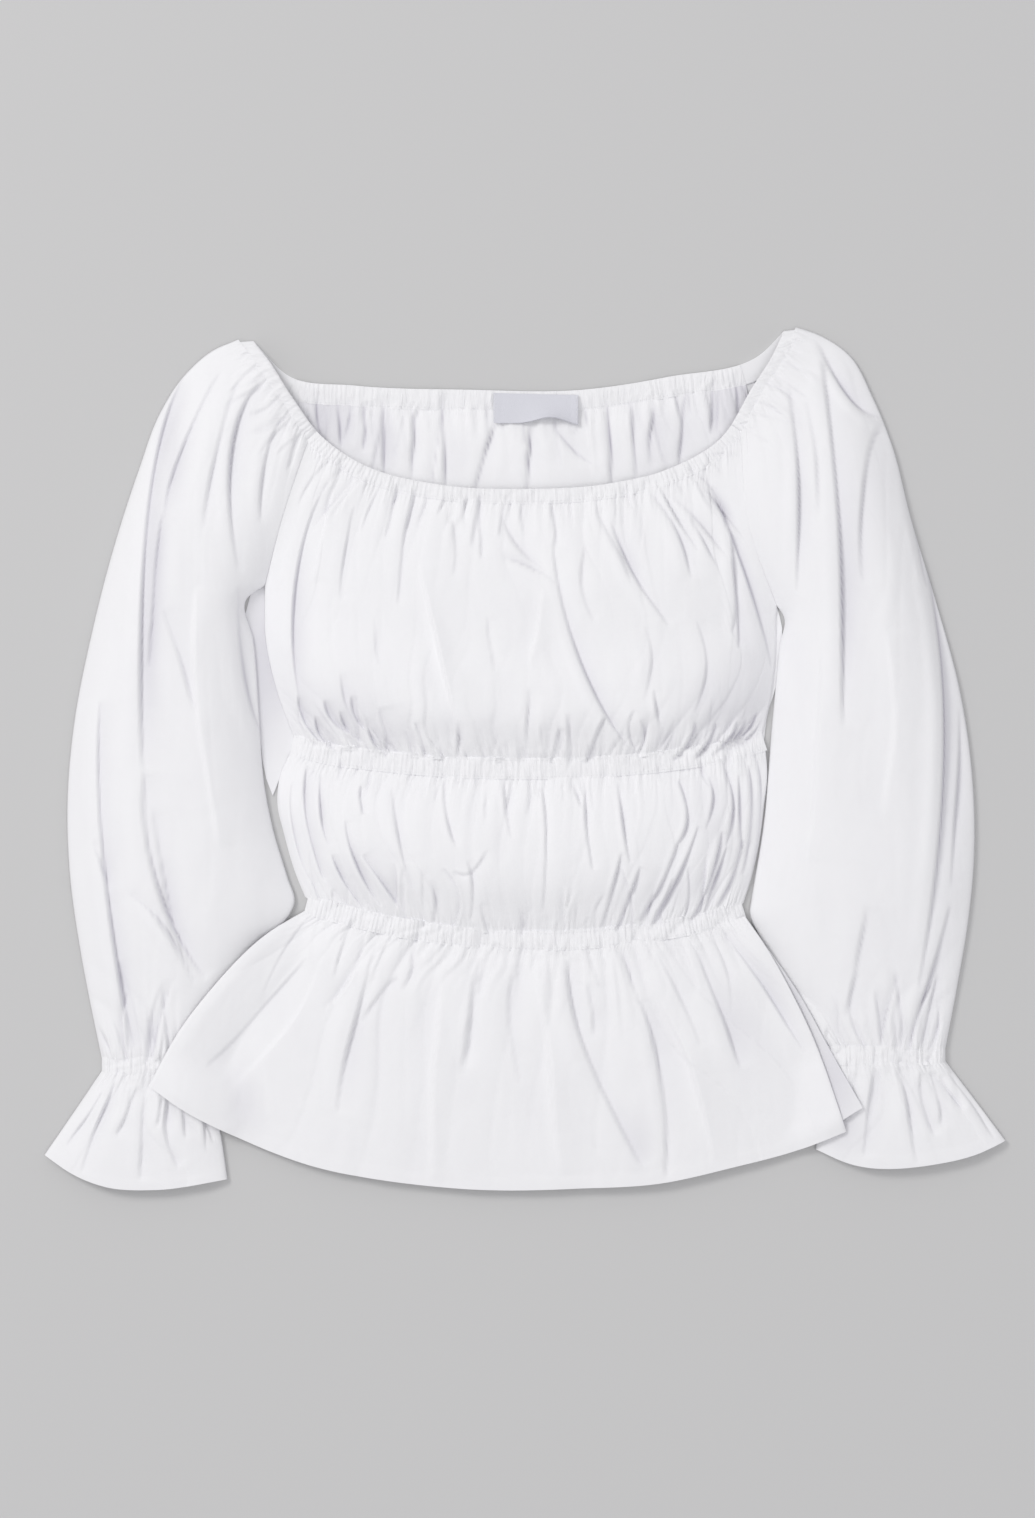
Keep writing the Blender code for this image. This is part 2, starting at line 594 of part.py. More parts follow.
def rest_on(plan, lower, room):
    """Height of the underside of a cloth that lies over lower ones.

    It is the highest of the cones that stand a little above their points, or the surface."""
    points = np.concatenate([finer(grid, REST_FINER).reshape(-1, 3) for grid in lower])
    points = points[(points[:, 1] < REST_FROM_Y) & (points[:, 2] > LIFTED)]
    height = np.zeros(plan.shape[:2])
    for row in range(plan.shape[0]):
        away = np.linalg.norm(plan[row, :, None, :2] - points[None, :, :2], axis=-1)
        height[row] = (points[:, 2] + room - REST_SLOPE * away).max(axis=-1)
    return np.maximum(height, 0.0)


def material(look):
    """A Principled material from its name, colour and roughness."""
    name, colour, roughness = look
    made = bpy.data.materials.get(name)
    if made is None:
        made = bpy.data.materials.new(name)
        made.use_nodes = True
        shader = made.node_tree.nodes["Principled BSDF"]
        shader.inputs["Base Color"].default_value = (*colour, 1.0)
        shader.inputs["Roughness"].default_value = roughness
        shader.inputs["Metallic"].default_value = 0.0
    return made


def sheet(name, grid, wall, look):
    """One piece of cloth: its outer face is the grid, and Solidify gives it a wall inwards."""
    rows, columns = grid.shape[:2]
    cloth = bmesh.new()
    bmesh.ops.create_grid(cloth, x_segments=columns - 1, y_segments=rows - 1, size=1.0)
    places = (grid.reshape(-1, 3) - CENTRE) * MM
    for vertex, place in zip(cloth.verts, places):
        vertex.co = place
    bmesh.ops.remove_doubles(cloth, verts=cloth.verts, dist=WELD * MM)
    bmesh.ops.triangulate(cloth, faces=cloth.faces, quad_method="SHORT_EDGE")
    cloth.normal_update()
    highest = max(cloth.faces, key=lambda face: face.calc_center_median().z)
    if highest.normal.z < 0:
        bmesh.ops.reverse_faces(cloth, faces=cloth.faces)
    mesh = bpy.data.meshes.new(name)
    cloth.to_mesh(mesh)
    cloth.free()
    mesh.shade_smooth()
    mesh.materials.append(material(look))
    piece = bpy.data.objects.new(name, mesh)
    bpy.data.collections[COLLECTION].objects.link(piece)
    solid = piece.modifiers.new("Wall", "SOLIDIFY")
    solid.thickness = wall * MM
    solid.offset = -1.0


def band(upper, lower, rise):
    """A casing's two rows of points, raised over the cloth beside it."""
    return raised(np.stack((upper, lower)), rise)


def neck_lines():
    """The neckline cut into its stretches, each half a seam gap short of its raglan seams.

    Those of the body run from left to right, and those of the sleeves from the seam to the shoulder."""
    half = SEAM_GAP / 2 / run_of(along(NECK_FRONT, spread(CURVE_STEPS)))[-1]
    front = uneven_spread(FRONT_COLUMNS)
    back = edge_spread(BACK_COLUMNS)
    upper = edge_spread(SLEEVE_UPPER_COLUMNS)
    lower = spread(SLEEVE_LOWER_COLUMNS)
    stretches = {
        "front": (NECK_FRONT, LEFT_RAGLAN_AT + half, RIGHT_RAGLAN_AT - half, front),
        "left": (NECK_FRONT, LEFT_RAGLAN_AT - half, 0.0, upper),
        "right": (NECK_FRONT, RIGHT_RAGLAN_AT + half, 1.0, upper),
        "back": (NECK_BACK, LEFT_BACK_RAGLAN_AT + half, RIGHT_BACK_RAGLAN_AT - half, back),
        "back_left": (NECK_BACK, LEFT_BACK_RAGLAN_AT - half, 0.0, lower),
        "back_right": (NECK_BACK, RIGHT_BACK_RAGLAN_AT + half, 1.0, lower),
    }
    return {
        name: along(table, start + (end - start) * shares)
        for name, (table, start, end, shares) in stretches.items()
    }


def raglan(top, middle, underarm, side):
    """A raglan seam from the neckline's casing to the underarm, moved half a seam gap to one side."""
    seam = along((top, middle, underarm), spread(RAGLAN_ROWS))
    moved = beside(seam, side * SEAM_GAP / 2)
    moved[0] = top
    return moved


def joined(upper, lower):
    """Two lines end to end, with the shared point once."""
    return np.concatenate((upper, lower[1:]))


def build_front_bodice(neck, bust_line):
    """The bust panel: a puffed sheet between the neckline, the raglan and side seams and the elastic."""
    top = beside(neck["front"], NECK_CASING + SEAM_GAP)
    side_rows = spread(FRONT_SIDE_ROWS)
    left_seam = raglan(top[0], LEFT.raglan_middle, LEFT.underarm, -1)
    right_seam = raglan(top[-1], RIGHT.raglan_middle, RIGHT.underarm, 1)
    left = joined(left_seam, along(LEFT_FRONT_SIDE, side_rows))
    right = joined(right_seam, along(RIGHT_FRONT_SIDE, side_rows))
    bottom = beside(bust_line, -(BUST_CASING / 2 + SEAM_GAP))
    bottom[0] = left[-1]
    bottom[-1] = right[-1]
    across = shares_of(top)
    down = spread(RAGLAN_ROWS + FRONT_SIDE_ROWS)
    grid = patch(top, bottom, left, right, across, down)
    height = puff(BODICE_PUFF, across, down)
    height = height + gathered(FRONT_COLUMNS, distance_from_top(grid), NECK_GATHERS)
    height = height + gathered(FRONT_COLUMNS, distance_from_bottom(grid), BUST_GATHERS)
    height = height + fold_relief(grid, BODICE_FOLDS) * fading_at_sides(across)
    sheet("front_bodice", kept_above(raised(grid, height), SIDE_EDGE), CLOTH, COTTON)


def build_back_bodice(neck, bust_line):
    """The back panel: flat on the surface, with soft folds where it shows in the neck opening."""
    top = beside(neck["back"], BACK_NECK_CASING + SEAM_GAP)
    side_rows = spread(BACK_SIDE_ROWS)
    left_seam = raglan(top[0], middle_of(top[0], LEFT.underarm), LEFT.underarm, -1)
    right_seam = raglan(top[-1], middle_of(top[-1], RIGHT.underarm), RIGHT.underarm, 1)
    left = joined(left_seam, along(LEFT_BACK_SIDE, side_rows))
    right = joined(right_seam, along(RIGHT_BACK_SIDE, side_rows))
    bottom = beside(bust_line, -(BUST_CASING / 2 + SEAM_GAP))
    bottom[0] = left[-1]
    bottom[-1] = right[-1]
    across = shares_of(top)
    down = spread(RAGLAN_ROWS + BACK_SIDE_ROWS)
    grid = flat(patch(top, bottom, left, right, across, down), CLOTH)
    height = gathered(BACK_COLUMNS, distance_from_top(grid), BACK_NECK_GATHERS)
    height = np.maximum(height, 0.0) + fold_relief(grid, BACK_NECK_FOLDS)
    sheet("back_bodice", raised(grid, height), CLOTH, COTTON)


def build_front_midriff(bust_line, waist_line):
    """The gathered front panel between the two elastics."""
    down = spread(MIDRIFF_ROWS)
    top, bottom, left, right = midriff_edges(bust_line, waist_line, down)
    across = shares_of(top)
    grid = patch(top, bottom, left, right, across, down)
    height = puff(MIDRIFF_PUFF, across, down)
    height = height + gathered(FRONT_COLUMNS, distance_from_top(grid), MIDRIFF_GATHERS)
    height = height + gathered(FRONT_COLUMNS, distance_from_bottom(grid), MIDRIFF_GATHERS)
    height = height + fold_relief(grid, MIDRIFF_FOLDS) * fading_at_sides(across)
    sheet("front_midriff", kept_above(raised(grid, height), SIDE_EDGE), CLOTH, COTTON)


def build_back_midriff(bust_line, waist_line):
    """The back panel between the two elastics, flat on the surface."""
    down = spread(BACK_MIDRIFF_ROWS)
    top, bottom, left, right = midriff_edges(bust_line, waist_line, down)
    grid = patch(top, bottom, left, right, shares_of(top), down)
    sheet("back_midriff", flat(grid, CLOTH), CLOTH, COTTON)


def midriff_edges(bust_line, waist_line, down):
    """The four edges of a panel between the elastics."""
    top = beside(bust_line, BUST_CASING / 2 + SEAM_GAP)
    bottom = beside(waist_line, -(WAIST_CASING / 2 + SEAM_GAP))
    left = along(LEFT_MIDRIFF_SIDE, down)
    right = along(RIGHT_MIDRIFF_SIDE, down)
    for end, side in ((0, left), (-1, right)):
        top[end] = side[0]
        bottom[end] = side[-1]
    return top, bottom, left, right


def build_peplum(waist_line, back_waist_line, lower):
    """The flared panels below the waist, whose corners lie over the sleeves' ends."""
    across = shares_of(back_waist_line)
    down = spread(BACK_PEPLUM_ROWS)
    grid = patch(
        beside(back_waist_line, WAIST_CASING / 2 + SEAM_GAP),
        along(BACK_PEPLUM_HEM, across),
        along(LEFT_BACK_PEPLUM_SIDE, down),
        along(RIGHT_BACK_PEPLUM_SIDE, down),
        across,
        down,
    )
    back = raised(flat(grid, CLOTH), rest_on(grid, lower, BACK_REST_ROOM))
    sheet("back_peplum", back, CLOTH, COTTON)

    top = beside(waist_line, WAIST_CASING / 2 + SEAM_GAP)
    down = spread(PEPLUM_ROWS)
    left = along(LEFT_PEPLUM_SIDE, down)
    right = along(RIGHT_PEPLUM_SIDE, down)
    top[0] = left[0]
    top[-1] = right[0]
    across = shares_of(top)
    grid = patch(top, along(PEPLUM_HEM, across), left, right, across, down)
    height = puff(PEPLUM_PUFF, across, down)
    height = height + gathered(FRONT_COLUMNS, distance_from_top(grid), WAIST_GATHERS)
    height = height + fold_relief(grid, PEPLUM_FOLDS) * fading_at_sides(across)
    front = kept_above(raised(grid, height), SIDE_EDGE)
    lift = rest_on(grid, [*lower, back], FRONT_REST_ROOM) - (SIDE_EDGE - CLOTH)
    sheet("front_peplum", raised(front, np.maximum(lift, 0.0)), CLOTH, COTTON)


def folded_tube(upper, lower, sections, down, seam_rows, extra):
    """A flattened tube: a puffed upper layer and a flat lower one, joined at their folded edges.

    On its seam rows, the inner ends of the two layers stay apart."""
    across = shares_across(upper)
    top = raised(upper, puff(sections, across, down) + extra)
    top[:, 1:-1, 2] = np.maximum(top[:, 1:-1, 2], FOLDED_EDGE + CLOTH)
    top[:, -1, 2] = FOLDED_EDGE
    top[seam_rows:, 0, 2] = FOLDED_EDGE
    width = np.linalg.norm(lower[:, -1, :2] - lower[:, 0, :2], axis=1)[:, None]
    share = shares_across(lower)[None]
    bottom = lower.copy()
    bottom[:, :, 2] = rounded_under((1 - share) * width)
    folded = bottom[seam_rows:, :, 2]
    bottom[seam_rows:, :, 2] = np.maximum(folded, rounded_under(share * width)[seam_rows:])
    bottom[seam_rows:, 0] = top[seam_rows:, 0]
    bottom[:, -1] = top[:, -1]
    return np.concatenate((top, bottom[:, ::-1][:, 1:]), axis=1)


def build_sleeve(arm, neck_front, neck_back):
    """A raglan balloon sleeve: one flattened tube from the neckline to the wrist's elastic.

    Returns the grid of its upper layer."""
    top = casing_foot(neck_front, NECK_CASING, seam_distance(neck_front, NECK_CASING), arm)
    top_back = casing_foot(neck_back, BACK_NECK_CASING, seam_distance(neck_back, BACK_NECK_CASING), arm)
    arm_rows = spread(ARM_ROWS)
    outer_edge = joined(
        along(arm.outer, spread(RAGLAN_ROWS), 0, OUTER_AT_UNDERARM),
        along(arm.outer, arm_rows, OUTER_AT_UNDERARM, -1),
    )
    outer_edge[0] = flat(top[-1], FOLDED_EDGE)
    top[-1] = outer_edge[0]
    top_back[-1] = outer_edge[0]
    inner_edge = along(arm.inner, arm_rows)
    front_seam = raglan(top[0], arm.raglan_middle, arm.underarm, -arm.turn)
    back_seam = raglan(top_back[0], middle_of(top_back[0], arm.underarm), arm.underarm, -arm.turn)
    down = shares_of(outer_edge)
    across = edge_spread(SLEEVE_UPPER_COLUMNS)
    lower_across = spread(SLEEVE_LOWER_COLUMNS)
    upper = patch(
        top, straight(inner_edge[-1], outer_edge[-1], across), joined(front_seam, inner_edge), outer_edge,
        across, down,
    )
    lower = patch(
        top_back, straight(inner_edge[-1], outer_edge[-1], lower_across), joined(back_seam, inner_edge),
        outer_edge, lower_across, down,
    )
    extra = gathered(SLEEVE_UPPER_COLUMNS, distance_from_top(upper), SHOULDER_GATHERS)
    extra = extra + gathered(SLEEVE_UPPER_COLUMNS, distance_from_bottom(upper), WRIST_GATHERS)
    extra = extra + fold_relief(upper, arm.folds) * fading_at_sides(across)
    tube = folded_tube(upper, lower, SLEEVE_PUFF, down, RAGLAN_ROWS, extra)
    sheet(arm.name + "_sleeve", tube, CLOTH, COTTON)
    return tube[:, : SLEEVE_UPPER_COLUMNS + 1]


def build_wrist_casing(arm):
    """The wrist's elastic casing, a short flattened tube. Returns the grid of its upper layer."""
    drop = np.array((0.0, WRIST_CASING / 2, 0.0))
    layers = []
    for shares in (edge_spread(SLEEVE_UPPER_COLUMNS), spread(SLEEVE_LOWER_COLUMNS)):
        middle = straight(*arm.wrist, shares)
        layers.append(np.stack((middle + drop, middle - drop)))
    tube = folded_tube(*layers, WRIST_PUFF, spread(1), 0, crinkle(SLEEVE_UPPER_COLUMNS))
    sheet(arm.name + "_wrist_casing", tube, CASING_WALL, CASING)
    return tube[:, : SLEEVE_UPPER_COLUMNS + 1]


def build_flounce(arm):
    """The flared end below the wrist: a flattened tube with a wavy upper layer, which it returns."""
    flounce = arm.flounce
    down = spread(FLOUNCE_ROWS)
    inner_edge = along(flounce.inner, down)
    outer_edge = along(flounce.outer, down)
    layers = []
    for shares in (edge_spread(FLOUNCE_UPPER_COLUMNS), spread(FLOUNCE_LOWER_COLUMNS)):
        top = straight(inner_edge[0], outer_edge[0], shares)
        layers.append(patch(top, along(flounce.hem, shares), inner_edge, outer_edge, shares, down))
    upper = layers[0]
    extra = gathered(FLOUNCE_UPPER_COLUMNS, distance_from_top(upper), FLOUNCE_GATHERS)
    extra = extra + fold_relief(upper, flounce.folds) * fading_at_sides(shares_across(upper))
    tube = folded_tube(*layers, FLOUNCE_PUFF, down, 0, extra)
    sheet(arm.name + "_flounce", tube, CLOTH, COTTON)
    return tube[:, : FLOUNCE_UPPER_COLUMNS + 1]


def build_shoulder_casing(arm, neck_front, neck_back):
    """The neckline's casing over one sleeve: it folds over at the shoulder's peak, as the sleeve does."""
    upper = np.stack((neck_front, casing_foot(neck_front, NECK_CASING, NECK_CASING, arm)))
    lower = np.stack((neck_back, casing_foot(neck_back, BACK_NECK_CASING, BACK_NECK_CASING, arm)))
    lower[:, -1] = upper[:, -1]
    extra = CASING_PROUD + crinkle(SLEEVE_UPPER_COLUMNS)
    tube = folded_tube(upper, lower, SHOULDER_PUFF, spread(1), 2, extra)
    sheet("neck_casing_" + arm.name, tube, CASING_WALL, CASING)


def build_body_casings(neck, lines):
    """The elastic casings of the body: the front ones follow the puff, and the back ones lie flat."""
    rise = CASING_PROUD + crinkle(FRONT_COLUMNS)
    for name, width in (("bust", BUST_CASING), ("waist", WAIST_CASING)):
        front = lines[name + "_front"]
        upper, lower = beside(front, -width / 2), beside(front, width / 2)
        sheet(name + "_casing_front", band(upper, lower, rise), CASING_WALL, CASING)
        back = flat(lines[name + "_back"], BACK_CASING_WALL)[1:-1]
        upper, lower = beside(back, -width / 2), beside(back, width / 2)
        sheet(name + "_casing_back", band(upper, lower, 0.0), BACK_CASING_WALL, CASING)

    front = neck["front"]
    grid = band(front, beside(front, NECK_CASING), rise)
    sheet("neck_casing_front", grid, CASING_WALL, CASING)
    back = flat(neck["back"], CASING_WALL + CASING_CRINKLE)
    grid = band(back, beside(back, BACK_NECK_CASING), crinkle(BACK_COLUMNS))
    sheet("neck_casing_back", grid, CASING_WALL, CASING)


def build_label():
    """The blank woven label, sewn at both ends, whose lower edge lifts in a wave."""
    across = spread(LABEL_COLUMNS)
    down = spread(LABEL_ROWS)[:, None]
    grid = np.zeros((LABEL_ROWS + 1, LABEL_COLUMNS + 1, 3))
    grid[:, :, 0] = LABEL_LEFT + LABEL_WIDTH * across
    grid[:, :, 1] = LABEL_TOP + LABEL_TILT * across - LABEL_HEIGHT * down
    grid[:, :, 2] = LABEL_BASE + LABEL_WAVE * down * np.sin(np.pi * across) ** 2
    sheet("neck_label", grid, LABEL_WALL, WOVEN)


def clear_scene():
    """Removes the scene's objects and adds the blouse's collection."""
    for old in list(bpy.data.objects):
        bpy.data.objects.remove(old)
    collection = bpy.data.collections.new(COLLECTION)
    bpy.context.scene.collection.children.link(collection)


def main():
    clear_scene()
    neck = neck_lines()
    lines = {
        "bust_front": along(BUST_LINE, uneven_spread(FRONT_COLUMNS)),
        "bust_back": along(BUST_LINE, edge_spread(BACK_COLUMNS)),
        "waist_front": along(WAIST_LINE, uneven_spread(FRONT_COLUMNS)),
        "waist_back": along(WAIST_LINE, edge_spread(BACK_COLUMNS)),
    }
    build_front_bodice(neck, lines["bust_front"])
    build_back_bodice(neck, lines["bust_back"])
    build_front_midriff(lines["bust_front"], lines["waist_front"])
    build_back_midriff(lines["bust_back"], lines["waist_back"])
    build_body_casings(neck, lines)
    build_label()
    upper_layers = []
    for arm in (LEFT, RIGHT):
        neck_front, neck_back = neck[arm.name], neck["back_" + arm.name]
        build_shoulder_casing(arm, neck_front, neck_back)
        upper_layers.append(build_sleeve(arm, neck_front, neck_back))
        upper_layers.append(build_wrist_casing(arm))
        upper_layers.append(build_flounce(arm))
    build_peplum(lines["waist_front"], lines["waist_back"], upper_layers)


main()
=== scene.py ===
"""Finished cloth of a white cotton peasant blouse that lies flat with its front up, laid out as an add-on.

Every table is in millimetres. X runs across the blouse, Y up to its neck and Z up from the surface. Left and
right are those of someone who looks down at the blouse. Each panel is a grid between its cut edges.
"""

import json
from collections import namedtuple

import bpy
import numpy as np
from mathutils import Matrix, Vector


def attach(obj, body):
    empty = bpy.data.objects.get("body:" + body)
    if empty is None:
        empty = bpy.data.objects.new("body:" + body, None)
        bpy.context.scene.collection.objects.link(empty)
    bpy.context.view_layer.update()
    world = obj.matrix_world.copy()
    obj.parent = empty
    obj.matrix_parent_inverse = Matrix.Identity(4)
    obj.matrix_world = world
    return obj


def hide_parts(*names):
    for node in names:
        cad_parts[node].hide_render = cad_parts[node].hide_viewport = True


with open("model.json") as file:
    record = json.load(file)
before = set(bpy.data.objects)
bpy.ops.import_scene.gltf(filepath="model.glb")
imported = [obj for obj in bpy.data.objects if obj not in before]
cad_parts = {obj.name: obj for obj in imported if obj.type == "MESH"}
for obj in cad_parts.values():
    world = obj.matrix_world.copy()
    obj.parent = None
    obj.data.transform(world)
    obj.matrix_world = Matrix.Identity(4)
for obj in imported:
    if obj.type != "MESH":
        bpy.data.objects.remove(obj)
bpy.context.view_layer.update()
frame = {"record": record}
SLOTS = {row["slot"]: row for row in frame["record"]["materials"]}

bl_info = {
    "name": "Peasant blouse",
    "version": (1, 0, 0),
    "blender": (4, 5, 0),
    "location": "View3D > Sidebar > Blouse",
    "description": "Makes the finished cloth, stitching and label of a peasant blouse that lies flat",
    "category": "Object",
}

MM = 0.001
CENTRE = (0.0, 0.56, 0.0)

# The frame's own cloth: its wall, the heights where panels meet and the widths of the casings
WALL = 1.2
SIDE_EDGE = 2.7
FOLDED_EDGE = 2.8
CASING_END = 3.1
NECK_CASING = 10.0
BACK_NECK_CASING = 14.0
BUST_CASING = 14.0
WAIST_CASING = 13.0
WRIST_CASING = 13.0
BACK_CASING_TOP = 2.4
BACK_CASING_FOOT = 1.35
LOWER_CASING_TOP = 1.6

# How finely a curve and a fold are followed
CURVE_STEPS = 900
FOLD_STEPS = 50

Point = namedtuple("Point", "x y z")
Fold = namedtuple("Fold", "x0 y0 x1 y1 x2 y2 rise width")
Section = namedtuple("Section", "down crown fullness")
Pleats = namedtuple("Pleats", "spacing depth pinch reach slant fan seed")
Scatter = namedtuple("Scatter", "count reach depth width lean fan seed")
Crumple = namedtuple("Crumple", "height across down seed")
Hollow = namedtuple("Hollow", "x y across down shade")
Arm = namedtuple("Arm", "name turn peak raglan_middle underarm inner outer wrist folds flounce")
Flounce = namedtuple("Flounce", "inner outer hem folds")
Cut = namedtuple("Cut", "width length share")
Panel = namedtuple("Panel", "name counts plan folds top above bottom below puff hollows seam_share creases")
Counts = namedtuple("Counts", "across down")
TubeCounts = namedtuple("TubeCounts", "upper lower down")
Look = namedtuple("Look", "pitch weave puckers crumple rough sheen")


def level(z, *places):
    """Points of an edge that keeps one height, from its X and Y pairs."""
    return tuple(Point(x, y, z) for x, y in places)


def rows_of(kind, *rows):
    """A table of one kind of row, from rows that give its fields in order."""
    return tuple(kind(*row) for row in rows)


NECK_FRONT = rows_of(
    Point, (-190, 293, 3.4), (-179, 279, 6.0), (-163, 254, 8.0), (-141, 225, 10.0), (-115, 207, 11.0),
    (-60, 192, 11.5), (-3, 189, 11.5), (60, 193, 11.5), (100, 203, 11.0), (136, 224, 10.0), (158, 259, 8.0),
    (173, 283, 6.0), (181, 300, 3.4),
)
NECK_BACK = level(
    0.0, (-190, 293), (-164, 268), (-120, 262), (-40, 259), (40, 259), (100, 268), (165, 284), (181, 300)
)
# Where the raglan seams meet the neckline, as shares of its length
LEFT_RAGLAN_AT = 0.168
RIGHT_RAGLAN_AT = 0.836
LEFT_BACK_RAGLAN_AT = 0.10
RIGHT_BACK_RAGLAN_AT = 0.90

LEFT_UNDERARM = Point(-182, 122, FOLDED_EDGE)
RIGHT_UNDERARM = Point(176, 108, FOLDED_EDGE)
LEFT_FRONT_SIDE = (LEFT_UNDERARM, *level(SIDE_EDGE, (-181, 84), (-173, 49), (-161, 16.5)))
RIGHT_FRONT_SIDE = (RIGHT_UNDERARM, *level(SIDE_EDGE, (176, 84), (173, 49), (167, 20.5)))
LEFT_BACK_SIDE = level(
    0.0, (-182, 122), (-195, 111), (-190.4, 84), (-188.5, 60), (-186.4, 33), (-184.6, 10), (-182, -10),
    (-176.5, -25),
)
RIGHT_BACK_SIDE = level(0.0, (176, 108), (180, 92), (177.6, 70), (175.2, 50), (170, 34), (167, 12))

BUST_LINE = rows_of(
    Point, (-163, 11, CASING_END), (-140, 5, 9.0), (-95, -1, 14.0), (-45, -5, 16.0), (0, -6, 16.0),
    (60, -4, 15.5), (110, 1, 13.5), (148, 8, 9.0), (167, 14, CASING_END),
)
WAIST_LINE = rows_of(
    Point, (-153, -101, CASING_END), (-130, -107, 7.5), (-85, -117, 11.0), (-35, -124, 12.5),
    (10, -126, 12.5), (70, -122, 12.0), (115, -115, 10.0), (140, -109, 7.0), (153, -105, CASING_END),
)
LEFT_MIDRIFF_SIDE = level(
    SIDE_EDGE, (-164, 5.5), (-171, -10), (-173, -33), (-169, -50), (-161, -78), (-154, -95.5)
)
RIGHT_MIDRIFF_SIDE = level(
    SIDE_EDGE, (167, 8.5), (169, -10), (167, -34), (164, -57), (159, -80), (153, -99.5)
)

LEFT_PEPLUM_SIDE = level(SIDE_EDGE, (-153, -106.5), (-178, -121), (-217, -158), (-241, -189), (-262, -227))
RIGHT_PEPLUM_SIDE = level(SIDE_EDGE, (153, -110.5), (170, -135), (186, -163), (199, -189), (224, -259))
PEPLUM_HEM = rows_of(
    Point, (-262, -227, SIDE_EDGE), (-236, -245, 4.0), (-210, -259, 5.0), (-150, -283, 6.5),
    (-87, -295, 7.0), (-30, -300, 7.0), (40, -299, 7.0), (91, -296, 7.0), (147, -284, 6.5), (192, -272, 5.0),
    (224, -259, SIDE_EDGE),
)
LEFT_BACK_PEPLUM_SIDE = level(0.0, (-153, -108), (-176, -121), (-214, -158), (-238, -189), (-258, -226))
RIGHT_BACK_PEPLUM_SIDE = level(0.0, (153, -112), (172, -136), (190, -162), (213, -203), (235, -242))
BACK_PEPLUM_HEM = level(
    0.0, (-258, -226), (-210, -255), (-150, -280), (-87, -292), (0, -297), (91, -293), (147, -282),
    (196, -266), (235, -242),
)

# How far each panel puffs up over its edges, from its top to its bottom
BODICE_PUFF = rows_of(
    Section, (0.00, 0.0, 3.0), (0.15, 6.0, 3.4), (0.40, 14.0, 4.0), (0.65, 19.0, 4.5), (0.82, 15.5, 4.5),
    (0.92, 7.4, 4.0), (1.00, 0.0, 4.0),
)
MIDRIFF_PUFF = rows_of(
    Section, (0.00, 0.0, 4.0), (0.15, 7.0, 4.0), (0.40, 14.0, 4.0), (0.70, 13.0, 4.0), (0.90, 4.6, 4.0),
    (1.00, 0.0, 4.0),
)
PEPLUM_PUFF = rows_of(
    Section, (0.00, 0.0, 4.0), (0.12, 3.0, 4.0), (0.40, 5.0, 4.0), (0.75, 4.0, 4.0), (1.00, 1.0, 4.0),
)
SLEEVE_PUFF = rows_of(
    Section, (0.00, 4.0, 2.6), (0.12, 12.0, 2.6), (0.30, 19.0, 2.8), (0.60, 21.0, 3.0), (0.82, 16.0, 3.0),
    (0.94, 9.5, 2.8), (1.00, 6.5, 3.0),
)
FLOUNCE_PUFF = rows_of(Section, (0.00, 6.5, 3.0), (0.30, 8.0, 3.0), (0.70, 7.0, 3.0), (1.00, 5.0, 3.0))
WRIST_PUFF = (Section(0.0, 6.5, 3.0), Section(1.0, 6.5, 3.0))
SHOULDER_PUFF = (Section(0.0, 4.0, 2.6), Section(1.0, 4.0, 2.6))

